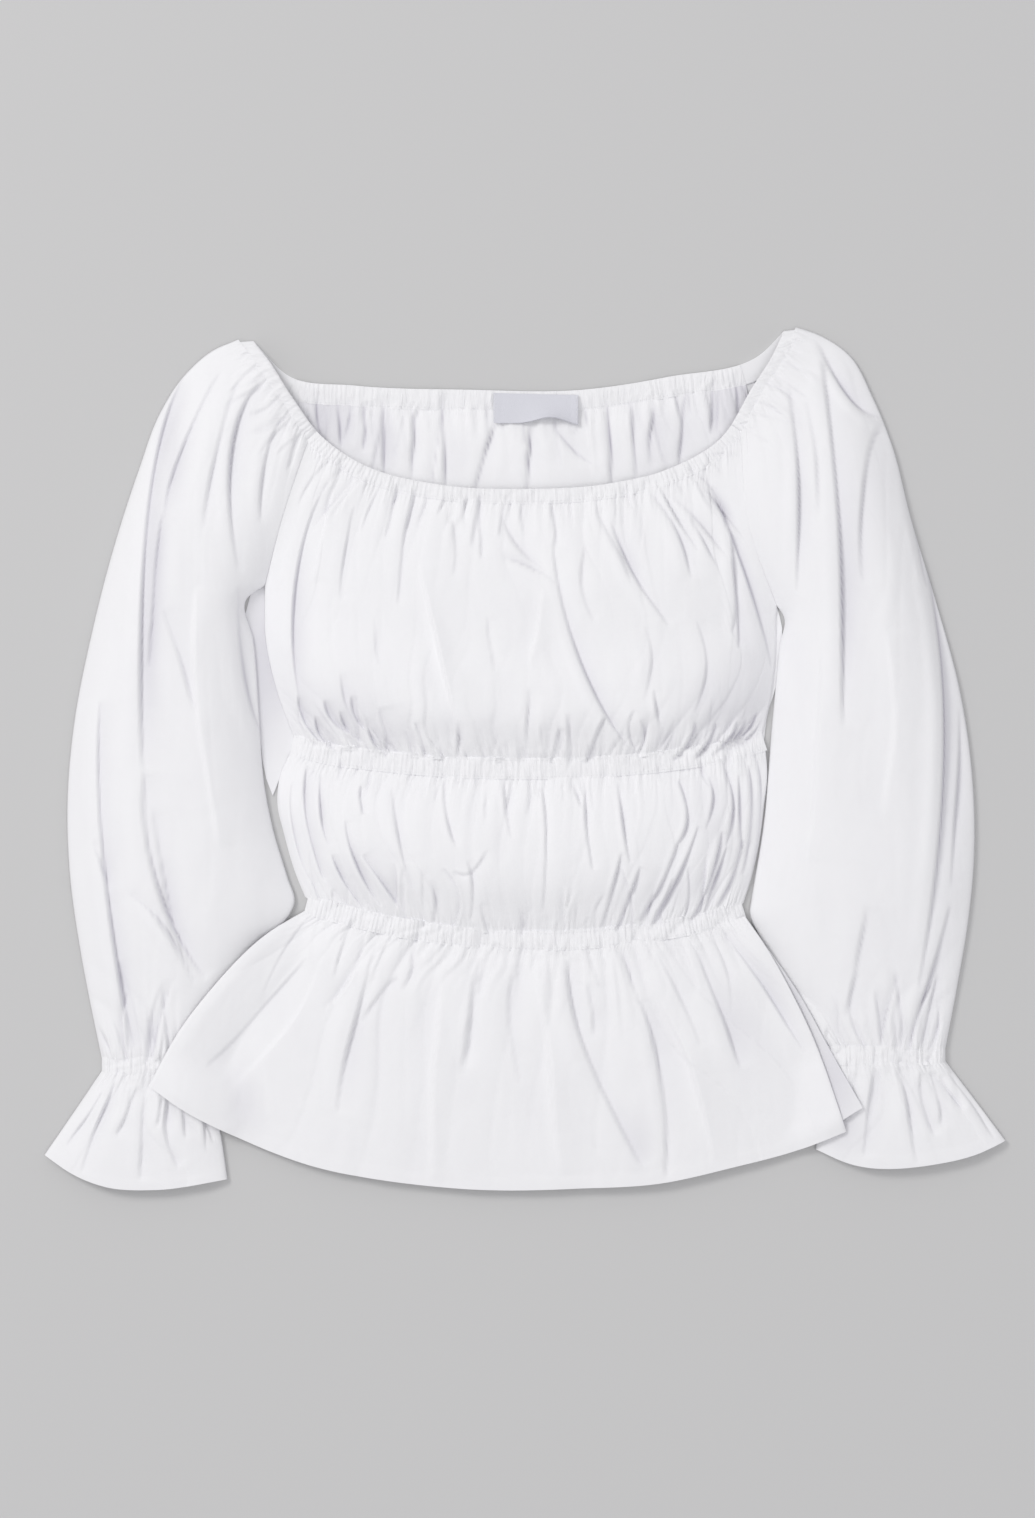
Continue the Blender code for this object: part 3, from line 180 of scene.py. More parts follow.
BODICE_FOLDS = rows_of(
    Fold, (60, 165, 75, 131, 100, 93, -3.6, 4.5), (20, 152, 37, 72, 76, 4, -3.8, 4.2),
    (18, 178, 21, 164, 21, 148, -2.4, 3.0), (-15, 140, 4, 134, 22, 122, -2.2, 4.0),
    (89, 185, 106, 158, 116, 127, -3.2, 4.5), (129, 190, 158, 118, 172, 64, -4.5, 5.0),
    (143, 162, 147, 120, 149, 78, -3.6, 4.0), (115, 198, 134, 178, 144, 160, -2.6, 4.0),
    (115, 168, 125, 151, 135, 134, -2.4, 3.5), (-136, 194, -160, 120, -153, 23, -3.6, 5.0),
    (-133, 187, -141, 150, -147, 125, 1.8, 5.0), (-77, 185, -84, 150, -88, 108, -2.3, 4.5),
    (-73, 136, -60, 80, -41, 8, 3.0, 6.0), (-32, 185, -31, 160, -30, 140, -1.8, 3.5),
    (-26, 99, -24, 80, -21, 60, -1.0, 4.0), (-104, 99, -103, 80, -100, 64, -1.0, 7.0),
    (13, 118, 9, 90, 3, 64, 1.8, 5.0), (3, 50, 2, 28, 1, 6, -1.8, 3.0),
    (-52, 170, -48, 150, -50, 128, -1.4, 4.0), (-118, 176, -124, 150, -128, 112, -1.8, 4.5),
    (42, 150, 40, 120, 48, 96, -1.6, 4.5), (84, 92, 88, 66, 82, 40, -1.6, 5.0),
    (120, 96, 126, 66, 118, 32, -1.8, 5.0), (-128, 60, -124, 40, -116, 18, -1.6, 4.0),
    (56, 30, 49, 15, 43, -2, -3.0, 1.9), (90, 48, 91, 36, 94, 23, -2.4, 1.9),
    (80, 28, 83, 15, 77, 4, -2.2, 1.8), (118, 26, 114, 12, 103, 0, -4.0, 2.0),
    (133, 25, 127, 11, 118, 1, -4.2, 2.0), (148, 26, 142, 14, 130, 3, -4.4, 2.1),
    (154, 28, 148, 17, 138, 7, -3.4, 1.8), (161, 33, 155, 20, 140, 6, -4.2, 2.1),
    (166, 30, 158, 17, 146, 9, -3.2, 2.0), (-139, 41, -134, 28, -122, 19, -3.0, 2.0),
    (-120, 44, -118, 31, -111, 21, -2.8, 1.9), (-128, 34, -124, 22, -112, 12, -2.8, 1.9),
    (-146, 30, -142, 16, -130, 5, -3.2, 2.0), (-158, 44, -153, 26, -141, 11, -3.2, 2.2),
    (-110, 28, -106, 14, -98, 4, -2.4, 1.9), (-47, 26, -46, 13, -48, 0, -2.4, 1.8),
    (-100, 36, -97, 18, -96, 0, -2.2, 9.0), (76, 34, 72, 20, 78, 6, -2.0, 1.8),
    (24, 22, 22, 12, 18, -3, -2.0, 1.8), (-76, 26, -72, 14, -70, 0, -2.0, 1.8),
    (-16, 170, -6, 150, 16, 130, -1.8, 4.0), (50, 172, 62, 150, 74, 124, -1.8, 3.5),
    (102, 184, 122, 164, 142, 140, -2.2, 3.5), (122, 186, 142, 168, 156, 148, -2.0, 3.5),
    (144, 140, 147, 112, 144, 88, -1.8, 3.5),
)
MIDRIFF_FOLDS = rows_of(
    Fold, (65, -16, 68, -42, 73, -72, -2.8, 2.0), (42, -16, 43, -46, 47, -76, -2.6, 1.9),
    (34, -18, 37, -26, 40, -34, -1.8, 1.8), (107, -14, 113, -38, 107, -58, -3.4, 2.2),
    (107, -56, 97, -82, 80, -113, -3.0, 2.2), (121, -46, 108, -78, 90, -115, -3.4, 2.2),
    (128, -12, 131, -28, 126, -48, -2.6, 2.0), (137, -50, 129, -84, 115, -113, -3.8, 2.3),
    (140, -8, 145, -32, 140, -60, -3.4, 2.2), (141, -60, 133, -82, 125, -107, -3.4, 2.0),
    (149, -10, 150, -44, 151, -62, -3.2, 2.1), (151, -56, 146, -78, 134, -103, -3.6, 2.2),
    (156, -4, 158, -38, 152, -80, -3.4, 2.1), (162, 0, 165, -34, 158, -82, -3.0, 1.9),
    (67, -64, 61, -90, 53, -117, -2.8, 2.0), (80, -74, 72, -98, 63, -120, -3.0, 2.0),
    (103, -82, 96, -100, 87, -118, -2.6, 1.9), (-114, -18, -114, -28, -112, -38, -2.4, 1.9),
    (-124, -42, -118, -70, -100, -102, -3.2, 2.1), (-134, -66, -126, -84, -112, -104, -3.0, 2.0),
    (-112, -66, -100, -84, -84, -106, -2.8, 2.1), (-142, -10, -142, -36, -136, -60, -2.6, 2.0),
    (-152, -4, -152, -40, -140, -84, -2.8, 2.1), (-92, -20, -88, -50, -78, -90, -1.8, 3.2),
    (-56, -14, -54, -40, -47, -60, -2.2, 2.2), (-26, -62, -37, -78, -49, -77, -1.4, 2.0),
    (-40, -70, -36, -88, -38, -112, -1.8, 2.2), (-15, -12, -13, -32, -10, -54, -1.8, 1.9),
    (10, -14, 15, -50, 12, -106, -2.0, 2.0), (28, -88, 29, -104, 30, -120, 2.2, 2.2),
    (-66, -84, -62, -98, -64, -114, -1.8, 2.0), (-162, -16, -162, -46, -150, -86, -2.4, 1.9),
)
PEPLUM_FOLDS = rows_of(
    Fold, (-104, -130, -121, -195, -131, -246, -3.4, 7.0), (-136, -130, -167, -190, -203, -228, 1.2, 14.0),
    (-79, -135, -79, -148, -86, -160, -2.6, 3.2), (-88, -152, -100, -162, -113, -182, -1.8, 3.2),
    (-36, -149, -39, -184, -44, -220, -2.4, 4.0), (-59, -150, -62, -220, -66, -292, 3.0, 13.0),
    (-32, -138, -37, -180, -41, -214, -2.0, 6.0), (8, -140, 18, -215, 26, -290, 3.0, 13.0),
    (30, -138, 42, -200, 82, -284, -4.2, 6.0), (44, -156, 47, -174, 48, -192, -1.8, 5.0),
    (80, -168, 95, -222, 98, -292, -3.8, 5.0), (66, -132, 74, -152, 80, -172, -2.4, 3.6),
    (84, -150, 118, -220, 132, -280, 3.0, 11.0), (120, -130, 137, -177, 151, -214, -3.6, 6.0),
    (140, -120, 171, -165, 197, -205, -4.2, 6.0), (-8, -142, -10, -180, -4, -226, -1.6, 7.0),
    (-152, -138, -186, -178, -222, -214, -1.8, 7.0), (92, -136, 112, -172, 122, -200, -1.8, 6.0),
)
LEFT_SLEEVE_FOLDS = rows_of(
    Fold, (-239, 268, -263, 160, -264, -8, -5.2, 7.0), (-263, -8, -256, -85, -222, -152, -4.6, 6.5),
    (-252, 171, -257, 120, -261, 64, -3.2, 4.5), (-180, 265, -203, 220, -199, 131, -4.2, 4.5),
    (-169, 238, -181, 205, -183, 165, -2.6, 3.5), (-158, 226, -162, 214, -165, 202, -1.8, 3.0),
    (-199, 120, -196, 60, -178, 5, -3.6, 5.0), (-295, 41, -292, -80, -272, -200, -4.8, 6.0),
    (-257, -35, -252, -75, -244, -116, -2.4, 5.0), (-274, -93, -248, -120, -230, -156, -3.4, 5.0),
    (-300, -57, -295, -73, -288, -89, -2.0, 5.0), (-200, 262, -214, 215, -222, 161, -2.4, 6.0),
    (-212, 270, -239, 215, -250, 167, -3.0, 6.0), (-250, 104, -238, 66, -225, 28, -2.2, 8.0),
    (-228, 120, -226, 40, -212, -60, 2.6, 12.0), (-284, -140, -280, -170, -276, -204, -2.0, 4.0),
    (-252, -160, -250, -184, -248, -206, -2.0, 4.0), (-262, -172, -262, -190, -260, -207, -1.8, 3.5),
)
RIGHT_SLEEVE_FOLDS = rows_of(
    Fold, (208, 279, 218, 160, 221, 23, -5.6, 6.5), (184, 260, 190, 190, 189, 116, -4.0, 4.5),
    (204, 293, 227, 252, 252, 239, -4.4, 4.0), (252, 236, 236, 196, 235, 123, -3.0, 8.0),
    (266, 190, 292, 30, 274, -160, -6.0, 6.0), (265, 198, 272, 162, 281, 120, -3.0, 3.5),
    (304, 37, 302, -20, 297, -88, -3.0, 5.0), (297, -102, 283, -150, 268, -200, -3.6, 5.0),
    (237, -102, 232, -140, 223, -178, -2.4, 8.0), (205, 90, 204, 10, 196, -70, 2.4, 12.0),
    (252, 90, 256, 30, 250, -40, 1.6, 14.0), (288, -150, 282, -176, 276, -200, -2.4, 4.0),
    (258, -150, 262, -178, 262, -200, -2.2, 3.5), (244, -160, 247, -180, 248, -200, -1.8, 3.5),
    (196, 250, 202, 210, 204, 170, -1.8, 5.0),
)
LEFT_FLOUNCE_FOLDS = rows_of(
    Fold, (-286, -226, -296, -250, -310, -288, -2.8, 4.5), (-270, -228, -278, -248, -285, -262, -2.4, 4.0),
    (-264, -235, -267, -262, -268, -293, -2.2, 4.0), (-252, -234, -254, -244, -256, -255, -1.6, 3.5),
    (-247, -230, -250, -258, -242, -284, -2.8, 4.5), (-238, -232, -238, -248, -236, -264, -2.0, 3.5),
    (-228, -236, -224, -250, -218, -266, -2.2, 4.0), (-294, -232, -306, -250, -320, -270, -1.8, 4.0),
)
RIGHT_FLOUNCE_FOLDS = rows_of(
    Fold, (260, -216, 267, -242, 273, -282, -3.2, 4.5), (276, -218, 278, -242, 286, -262, -2.6, 4.0),
    (283, -218, 289, -240, 290, -255, -2.0, 3.5), (290, -220, 298, -235, 308, -243, -2.2, 4.0),
    (296, -218, 312, -240, 328, -264, -2.4, 4.0), (243, -216, 240, -244, 236, -276, -2.4, 5.0),
    (228, -218, 222, -240, 216, -262, -2.2, 5.0),
)
BACK_NECK_FOLDS = rows_of(
    Fold, (-147, 258, -145, 240, -143, 222, -2.4, 4.5), (-131, 252, -130, 236, -128, 218, -2.6, 4.0),
    (-113, 250, -112, 234, -113, 216, -2.8, 4.0), (-99, 254, -99, 226, -98, 196, -3.2, 4.0),
    (-80, 250, -78, 226, -80, 194, -2.8, 4.5), (-57, 258, -57, 226, -55, 190, -3.2, 4.0),
    (-21, 236, -27, 216, -36, 188, -3.2, 4.5), (3, 240, 3, 214, 1, 184, -3.4, 3.6),
    (20, 240, 28, 222, 50, 206, -1.8, 6.0), (57, 250, 59, 226, 61, 190, -3.0, 4.0),
    (73, 252, 76, 228, 77, 196, -3.2, 4.0), (91, 248, 88, 230, 87, 206, -2.6, 4.0),
    (113, 258, 110, 236, 108, 206, -3.0, 4.5), (132, 266, 131, 250, 130, 228, -2.8, 4.0),
    (146, 270, 148, 256, 150, 238, -2.4, 4.0),
)

# Patches of painted shade, where shade falls on the cloth as it stands off what is below it, with their
# reach both ways
BODICE_PAINTED_SHADE = rows_of(
    Hollow, (-132, 32, 30, 22, 4.0), (-98, 16, 24, 12, 2.6), (138, 34, 30, 26, 4.6), (158, 84, 12, 44, 3.0),
    (97, 13, 9, 9, 4.0), (-40, 24, 20, 14, 1.6), (-158, 84, 10, 40, 2.0), (22, 20, 24, 12, 1.4),
)
MIDRIFF_PAINTED_SHADE = rows_of(
    Hollow, (132, -36, 14, 36, 3.6), (110, -92, 26, 18, 2.2), (-104, -78, 20, 22, 2.0),
    (-148, -40, 12, 36, 1.8),
)
PEPLUM_PAINTED_SHADE = rows_of(
    Hollow, (-196, -238, 12, 22, 4.8), (-120, -196, 16, 34, 1.8), (150, -190, 22, 40, 2.2),
    (80, -266, 13, 24, 3.6),
)
BACK_PAINTED_SHADE = rows_of(
    Hollow, (-142, 240, 24, 36, 7.5), (150, 254, 26, 40, 8.0), (-100, 222, 16, 26, 4.0),
    (96, 222, 20, 26, 4.0), (-44, 210, 12, 20, 1.6), (24, 214, 12, 16, 1.2), (-182, 66, 14, 58, 11.0),
)
ARM_PAINTED_SHADE = rows_of(
    Hollow, (-246, 215, 10, 40, 3.2), (-257, 140, 7, 40, 5.0), (-260, 70, 6, 45, 4.0),
    (226, 170, 8, 90, 2.4), (284, 60, 7, 90, 2.4), (222, -258, 16, 16, 4.5), (-276, -196, 22, 12, 1.8),
    (262, -190, 22, 12, 1.8), (-178, 40, 5, 60, 3.0),
)
BACK_PEPLUM_PAINTED_SHADE = (Hollow(188, -172, 15, 34, 6.0), Hollow(216, -222, 18, 34, 7.5))

LEFT = Arm(
    name="left",
    turn=-1,
    peak=Point(-202.5, 292.5, FOLDED_EDGE),
    raglan_middle=Point(-168, 172, 11.0),
    underarm=LEFT_UNDERARM,
    inner=(LEFT_UNDERARM, *level(
        FOLDED_EDGE, (-195, 112), (-190, 84), (-186, 33), (-182, -19), (-176, -49), (-166, -82), (-161, -99),
        (-168.5, -114), (-184, -127.5), (-199, -149), (-213, -177), (-225, -208.5),
    )),
    outer=level(
        FOLDED_EDGE, (-203, 293), (-217, 287), (-238, 269), (-255, 243), (-270, 203), (-288, 147),
        (-304, 84), (-315, 28), (-320, -28), (-318, -84), (-311, -133), (-303, -175), (-296, -208.5),
    ),
    wrist=level(FOLDED_EDGE, (-225, -213), (-296, -213)),
    folds=LEFT_SLEEVE_FOLDS,
    flounce=Flounce(
        inner=level(FOLDED_EDGE, (-225, -217.5), (-214, -255), (-208, -293)),
        outer=level(FOLDED_EDGE, (-296, -217.5), (-316, -247), (-336, -276)),
        hem=level(FOLDED_EDGE, (-208, -293), (-259, -300), (-292, -298), (-314, -290), (-336, -276)),
        folds=LEFT_FLOUNCE_FOLDS,
    ),
)
RIGHT = Arm(
    name="right",
    turn=1,
    peak=Point(191.5, 301.5, FOLDED_EDGE),
    raglan_middle=Point(156, 162, 11.0),
    underarm=RIGHT_UNDERARM,
    inner=(RIGHT_UNDERARM, *level(
        FOLDED_EDGE, (181, 100), (178, 80), (175, 49), (171.6, 12), (169.9, -12), (167.9, -36), (165, -58),
        (161.2, -80), (158.3, -97), (157, -107), (162.2, -121), (173.2, -140), (188, -167), (209, -201.5),
    )),
    outer=level(
        FOLDED_EDGE, (192, 302), (206, 297), (227, 283), (243, 254), (256, 222), (270, 168), (287, 112),
        (304, 49), (313, -14), (314, -70), (310, -112), (303, -154), (294, -201.5),
    ),
    wrist=level(FOLDED_EDGE, (209, -206), (294, -206)),
    folds=RIGHT_SLEEVE_FOLDS,
    flounce=Flounce(
        inner=level(FOLDED_EDGE, (209, -210.5), (208, -244), (203, -272)),
        outer=level(FOLDED_EDGE, (294, -210.5), (315, -238), (336, -266)),
        hem=level(FOLDED_EDGE, (203, -272), (227, -282), (287, -282), (316, -275), (336, -266)),
        folds=RIGHT_FLOUNCE_FOLDS,
    ),
)

# Number of the outer edge's point level with the underarm, and the share of the rows above the underarm in a
# sleeve, the bust panel and the back panel
OUTER_AT_UNDERARM = 5
SLEEVE_SEAM_SHARE = 6 / 19
BODICE_SEAM_SHARE = 6 / 14
BACK_SEAM_SHARE = 6 / 9

# Gathers: the elastic's own, which run through a casing into the cloth on both its sides, and at each seam
# longer ones that run on
ELASTIC = Pleats(3.1, 0.85, 0.6, 8.0, 0.12, 0.1, 95)
NECK_GATHERS = (Pleats(9.5, 1.4, 0.42, 22.0, 0.25, 0.15, 12), Pleats(23.0, 1.6, 0.45, 75.0, 0.3, 0.15, 13))
BUST_GATHERS = (Pleats(9.0, 1.7, 0.42, 20.0, 0.3, 0.75, 22), Pleats(18.0, 1.8, 0.45, 44.0, 0.4, 0.7, 23))
UNDER_BUST_GATHERS = (
    Pleats(9.5, 1.0, 0.42, 24.0, 0.15, 0.05, 32), Pleats(21.0, 1.2, 0.45, 60.0, 0.2, 0.1, 33)
)
OVER_WAIST_GATHERS = (
    Pleats(9.0, 1.0, 0.42, 20.0, 0.2, 0.4, 52), Pleats(24.0, 1.3, 0.45, 70.0, 0.2, 0.5, 53)
)
WAIST_GATHERS = (Pleats(9.0, 1.5, 0.45, 28.0, 0.3, 0.2, 55), Pleats(24.0, 2.2, 0.6, 120.0, 0.3, 0.2, 56))
BACK_NECK_GATHERS = (Pleats(9.0, 1.6, 0.42, 34.0, 0.25, 0.0, 62),)
SHOULDER_GATHERS = (Pleats(9.5, 1.0, 0.42, 28.0, 0.3, 0.0, 72), Pleats(21.0, 1.0, 0.45, 85.0, 0.3, 0.0, 73))
WRIST_GATHERS = (Pleats(8.0, 1.3, 0.42, 24.0, 0.3, 0.5, 82), Pleats(17.0, 1.6, 0.45, 66.0, 0.3, 0.4, 83))
FLOUNCE_GATHERS = (Pleats(8.0, 1.2, 0.42, 22.0, 0.4, 0.1, 92), Pleats(16.0, 1.4, 0.45, 66.0, 0.4, 0.1, 93))

# How chance varies gathers: the shift of their edges in shares of their spacing, the least of their height
# and their reach and what chance adds to each, its power for the reach, and how their crests lean. Then how
# many spacings their wandering takes, and the power by which they fade
GATHER_SHIFT = 0.33
GATHER_HEIGHT = (0.35, 1.1)
GATHER_REACH = (0.35, 1.2)
GATHER_REACH_POWER = 1.4
GATHER_CRESTS = (0.55, 1.8)
GATHER_WANDER = 4
GATHER_FADE = 1.5

# Folds scattered along each seam: how many, how long and deep the longest are, how wide, and how they lean
NECK_SCATTER = Scatter(36, 50, 1.8, 2.1, 0.13, 0.25, 111)
BUST_SCATTER = Scatter(38, 28, 1.5, 1.9, 0.18, 0.75, 112)
UNDER_BUST_SCATTER = Scatter(40, 26, 1.2, 1.8, 0.08, 0.05, 113)
OVER_WAIST_SCATTER = Scatter(38, 32, 1.4, 1.9, 0.12, 0.45, 114)
WAIST_SCATTER = Scatter(36, 50, 1.3, 2.2, 0.12, 0.25, 115)
BACK_NECK_SCATTER = Scatter(22, 60, 1.8, 2.2, 0.12, 0.0, 116)
SHOULDER_SCATTER = Scatter(16, 26, 1.2, 1.9, 0.10, 0.0, 117)
WRIST_SCATTER = Scatter(14, 52, 1.8, 2.1, 0.14, 0.35, 118)
FLOUNCE_SCATTER = Scatter(12, 40, 1.2, 2.2, 0.14, 0.3, 119)
# How far before its seam such a fold starts, the part of its own stretch of the seam where it may start, the
# power of chance that keeps most of them small, the least length in shares of the reach and what a large one
# adds to it, and how far it bows in shares of its length
SCATTER_START = 5.0
SCATTER_PLACES = (0.1, 0.9)
SCATTER_POWER = 2.2
SCATTER_LENGTH = (0.25, 1.1)
SCATTER_BOW = 0.09
# Its least depth and the power of the chance that adds to it, the share of that which a small one has and
# what a large one adds, how its width varies, and the share of them whose steep side is the other one
SCATTER_LEAST = 0.3
SCATTER_DEPTH_POWER = 1.5
SCATTER_DEPTH = (0.7, 0.5)
SCATTER_WIDTHS = (0.7, 1.3)
SCATTER_MIRRORED = 0.45

# Small uneven creases over each panel: their height and how long they are across and down it
POPLIN_CREASES = (Crumple(0.9, 34.0, 60.0, 5), Crumple(0.35, 12.0, 24.0, 6))
SLEEVE_CREASES = (Crumple(1.0, 26.0, 90.0, 7), Crumple(0.35, 12.0, 30.0, 8))
# Such creases: the shares of their height that are soft and sharp, the most that is sharp, how coarse the
# noise is that bends them and where it starts, and how far it bends the soft ones both ways. Then how fine
# the sharp ones are both ways, and how far it bends them
CREASE_SOFT = 0.6
CREASE_SHARP = 0.7
CREASE_SHARP_MOST = 0.35
BEND_SCALE = 0.6
BEND_START = (31.7, 11.3)
SOFT_BEND = (0.8, 0.5)
SHARP_SCALE = (1.7, 1.3)
SHARP_BEND = 0.9
# What is added to a row's seed for each further noise
BEND_SEED = 100
SHARP_SEED = 200
WANDER_SEED = 300

# The cones that hold the peplum's corners off the sleeves, as in the frame
REST_SLOPE = 0.45
BACK_REST_ROOM = 2.6
FRONT_REST_ROOM = 2.0
REST_FROM_Y = -118.0
LIFTED = 1.3

# How far a corner in a panel's side edge is rounded, as a share of the edge, and how it is held at the edge
EDGE_ROUNDING = 0.16
EDGE_HOLD = 9

# How folds fade at a panel's sides, how a shoulder's casing is drawn out to its peak, how columns close up
# towards edges, and how far below its mean height a gather's valley lies, as a share of its depth
SIDE_FADE = 20
PEAK_DRAW = 4
EDGE_CLOSING = 0.07
SINK = 0.55

# A fold across its own run, in its own widths where no unit is named: how far its steep side reaches, as
# millimetres and a share that is added, how far its soft side does, the power of each side's bell, the
# height, place and width of the lip beside the steep side, and how far from its run it is worked out
STEEP_LEAST = 0.5
STEEP_SHARE = 0.1
SOFT_SIDE = 1.5
STEEP_POWER = 2.0
SOFT_POWER = 1.15
FOLD_SHOULDER = 0.22
FOLD_SHOULDER_AT = -1.3
FOLD_SHOULDER_WIDTH = 0.9
FOLD_REACH = 5
# A fold along its run: how many waves it has, how far they push it aside and how much they vary its depth
FOLD_WAVES = 1.2
FOLD_WANDER = 0.08
FOLD_UNEVEN = 0.3
# The painted shade along a fold's line, where shade falls in its crease: its width in millimetres, its shade
# for each millimetre of depth, and how much less it is painted on the peplum and the flounces and more in
# the back's neck opening
CREASE_SHADE_WIDTH = 0.8
CREASE_SHADE = 1.5
FLARED_CREASE_SHADE = 0.45
BACK_CREASE_SHADE = 2.2

# The tubes' folded edges: how far they round, how high and how little at least. Then how much more slowly a
# sleeve leaves its raglan seam, how far a side seam turns down, over how much of its width and of its rows,
# and how softly cloth comes to its lowest height, in square millimetres
FOLD_ROUND = 4.0
FOLD_LIP = 1.3
FOLD_LEAST = 0.1
SEAM_SLOWER = 30.0
SEAM_DROP = 1.0
SEAM_TURN = 2.5
SEAM_START = 0.05
REST_SOFTNESS = 0.3

# Cloth that bridges the valley at a raglan seam: how high it stands and how far that reaches
BRIDGE = 4.2
BRIDGE_REACH = 10.0

# Casings: how far they lap over the panels, how far the panels run on under them and dip there, how high and
# full they stand, how far their free edge drops and rounds, how much faster gathers fade in them, and the
# stitched groove's place, depth and width
OVERLAP = 0.5
UNDERLAP = 2.5
UNDERLAP_DROP = 0.5
CASING_RISE = 0.04
CASING_FULL = 0.12
CASING_RIM_DROP = 0.9
CASING_RIM_ROUND = 1.6
CASING_HOLD = 5.0
STITCH_INSET = 1.8
STITCH_GROOVE = 0.08
STITCH_GROOVE_WIDTH = 0.7

# What the cloth's material reads: how far from a seam it is puckered and the power by which that fades, how
# much a casing is, the depth that counts as one in the mask of painted shade in valleys, creases and shaded
# patches, and the mask's most
PUCKER_REACH = 11.0
PUCKER_POWER = 1.3
CASING_GATHER = 1.0
VALLEY_DEPTH = 4.0
VALLEY_MOST = 6.0
UV_NAME = "Cloth"

# Columns and rows of the panels' grids. Two counts of rows are those above and below the underarm
BODICE_COUNTS = Counts(402, 117)
BACK_BODICE_COUNTS = Counts(250, (60, 12))
MIDRIFF_COUNTS = Counts(442, 107)
BACK_MIDRIFF_COUNTS = Counts(60, 12)
PEPLUM_COUNTS = Counts(325, 92)
BACK_PEPLUM_COUNTS = Counts(90, 32)
FRONT_BAND_COUNTS = Counts(450, 9)
BACK_NECK_BAND_COUNTS = Counts(300, 8)
BACK_BAND_COUNTS = Counts(100, 8)
LABEL_COUNTS = Counts(70, 26)

# Columns of the upper and the lower layer of each tube, and its rows
SLEEVE_COUNTS = TubeCounts(110, 20, (60, 140))
WRIST_COUNTS = TubeCounts(110, 24, 12)
FLOUNCE_COUNTS = TubeCounts(130, 16, 48)
SHOULDER_COUNTS = TubeCounts(110, 32, 12)

# Rougher counts, for the seams of scattered folds and for what the peplum is lifted by
ROUGH_COLUMNS = 42
ROUGH_SLEEVE = TubeCounts(ROUGH_COLUMNS, 2, (12, 65))
ROUGH_WRIST = TubeCounts(ROUGH_COLUMNS, 2, 5)
ROUGH_FLOUNCE = TubeCounts(ROUGH_COLUMNS, 2, 22)
ROUGH_PEPLUM = Counts(56, 18)

# A difference too small to matter between two shares
ROUNDING = 1e-9

# Hems: how wide and thick the turning is, its stitched groove's depth, width and place, and how soft its
# step is
HEM = 8.0
HEM_THICK = 0.35
HEM_GROOVE = 0.25
HEM_GROOVE_WIDTH = 0.7
HEM_GROOVE_IN = 1.2
HEM_STEP = 0.4

# The blank label
LABEL_LEFT = -22.0
LABEL_WIDTH = 59.0
LABEL_TOP = 256.5
LABEL_HEIGHT = 21.0
LABEL_TILT = -1.5
LABEL_BASE = 4.2
LABEL_RISE = 2.8
LABEL_WALL = 0.8
LABEL_FOLD = 0.35
LABEL_FOLD_WIDTH = 4.0
LABEL_RIPPLE = 0.15
LABEL_RIPPLES = 5
BUCKLE_AT = 0.72
BUCKLE_WIDTH = 0.26
BUCKLE_DRAW = 5.5
LABEL_SEAM_COLUMNS = (2, -3)
LABEL_SEAM_PROUD = 0.1

# Stitches: their pitch and length along a seam, how far they stand proud, the columns left free at a seam's
# ends, how many sides a bar has, and its width and height at each ring of its points in shares of its radius
STITCH_PITCH = 3.0
STITCH_LENGTH = 2.2
STITCH_PROUD = 0.04
STITCH_MARGIN = 3
STITCH_SIDES = 4
STITCH_WIDTHS = (0.45, 1.0, 1.0, 0.45)
STITCH_HEIGHTS = (-0.6, 0.5, 0.5, -0.6)

# How the back stands off the surface in the neck opening: how far, how soon below its casing, and down to
# where, and how much less at the two sides
BACK_LIFT = 3.4
BACK_LIFT_START = 9.0
BACK_LIFT_END = 78.0
BACK_SIDE_DIP = 0.6

# How far below its own line a back casing's relief may reach
BACK_BAND_LEAST = 0.5

# The colour sockets of a Mix node, which share their names with its other sockets
MIX_FACTOR = 0
MIX_FIRST = 6
MIX_SECOND = 7
MIX_RESULT = 2

# What all the cloth's materials share: the roughness of their sheen, their gloss and how dark the painted
# shade in their valleys is
SHEEN_ROUGHNESS = 0.5
SPECULAR = 0.3
PAINTED_VALLEY_SHADE = 0.15

# Each material's weave in metres from thread to thread, the heights of its weave, puckers and crumple in
# millimetres, its roughness and its sheen
LOOKS = {
    "Cotton poplin": Look(0.0005, 0.02, 0.95, 0.22, 0.85, 0.12),
    "Elastic casing": Look(0.0005, 0.02, 1.05, 0.22, 0.85, 0.12),
    "Woven label": Look(0.0007, 0.06, 0.0, 0.1, 0.55, 0.0),
    "Cotton thread": Look(0.0004, 0.1, 0.0, 0.0, 0.7, 0.1),
}
# How slubs are stretched along each set of threads, and the sizes and shares of the two crumples
SLUB_STRETCHES = ((3000.0, 160.0, 1.0), (160.0, 3000.0, 1.0))
CRUMPLE_SIZES = ((1.0, 1.0), (3.1, 0.3))

# The camera looks straight down: the photograph's pixels, the millimetres that one of them shows, the
# camera's sensor, its height in metres and its place in millimetres
PHOTO_PIXELS = (1035, 1518)
PIXEL = 0.7
SENSOR = 36.0
CAMERA_HEIGHT = 2.6
CAMERA_X = -5.25
CAMERA_Y = 0.14

# The stage: the floor's size and roughness, each light's name, place, target, size, power and colour, and
# the fill from all round
FLOOR_SIZE = 8.0
FLOOR_ROUGHNESS = 0.9
LIGHTS = (
    ("Window", (-2.8, 2.2, 3.4), (0.0, 0.0, 0.0), (1.5, 1.5), 82.0, (1.0, 0.99, 0.97)),
    ("Ceiling", (0.6, -0.6, 4.2), (0.0, 0.0, 0.0), (3.0, 3.0), 40.0, (1.0, 1.0, 1.0)),
)
FILL_COLOUR = (0.99, 0.985, 1.0)
FILL_STRENGTH = 0.56


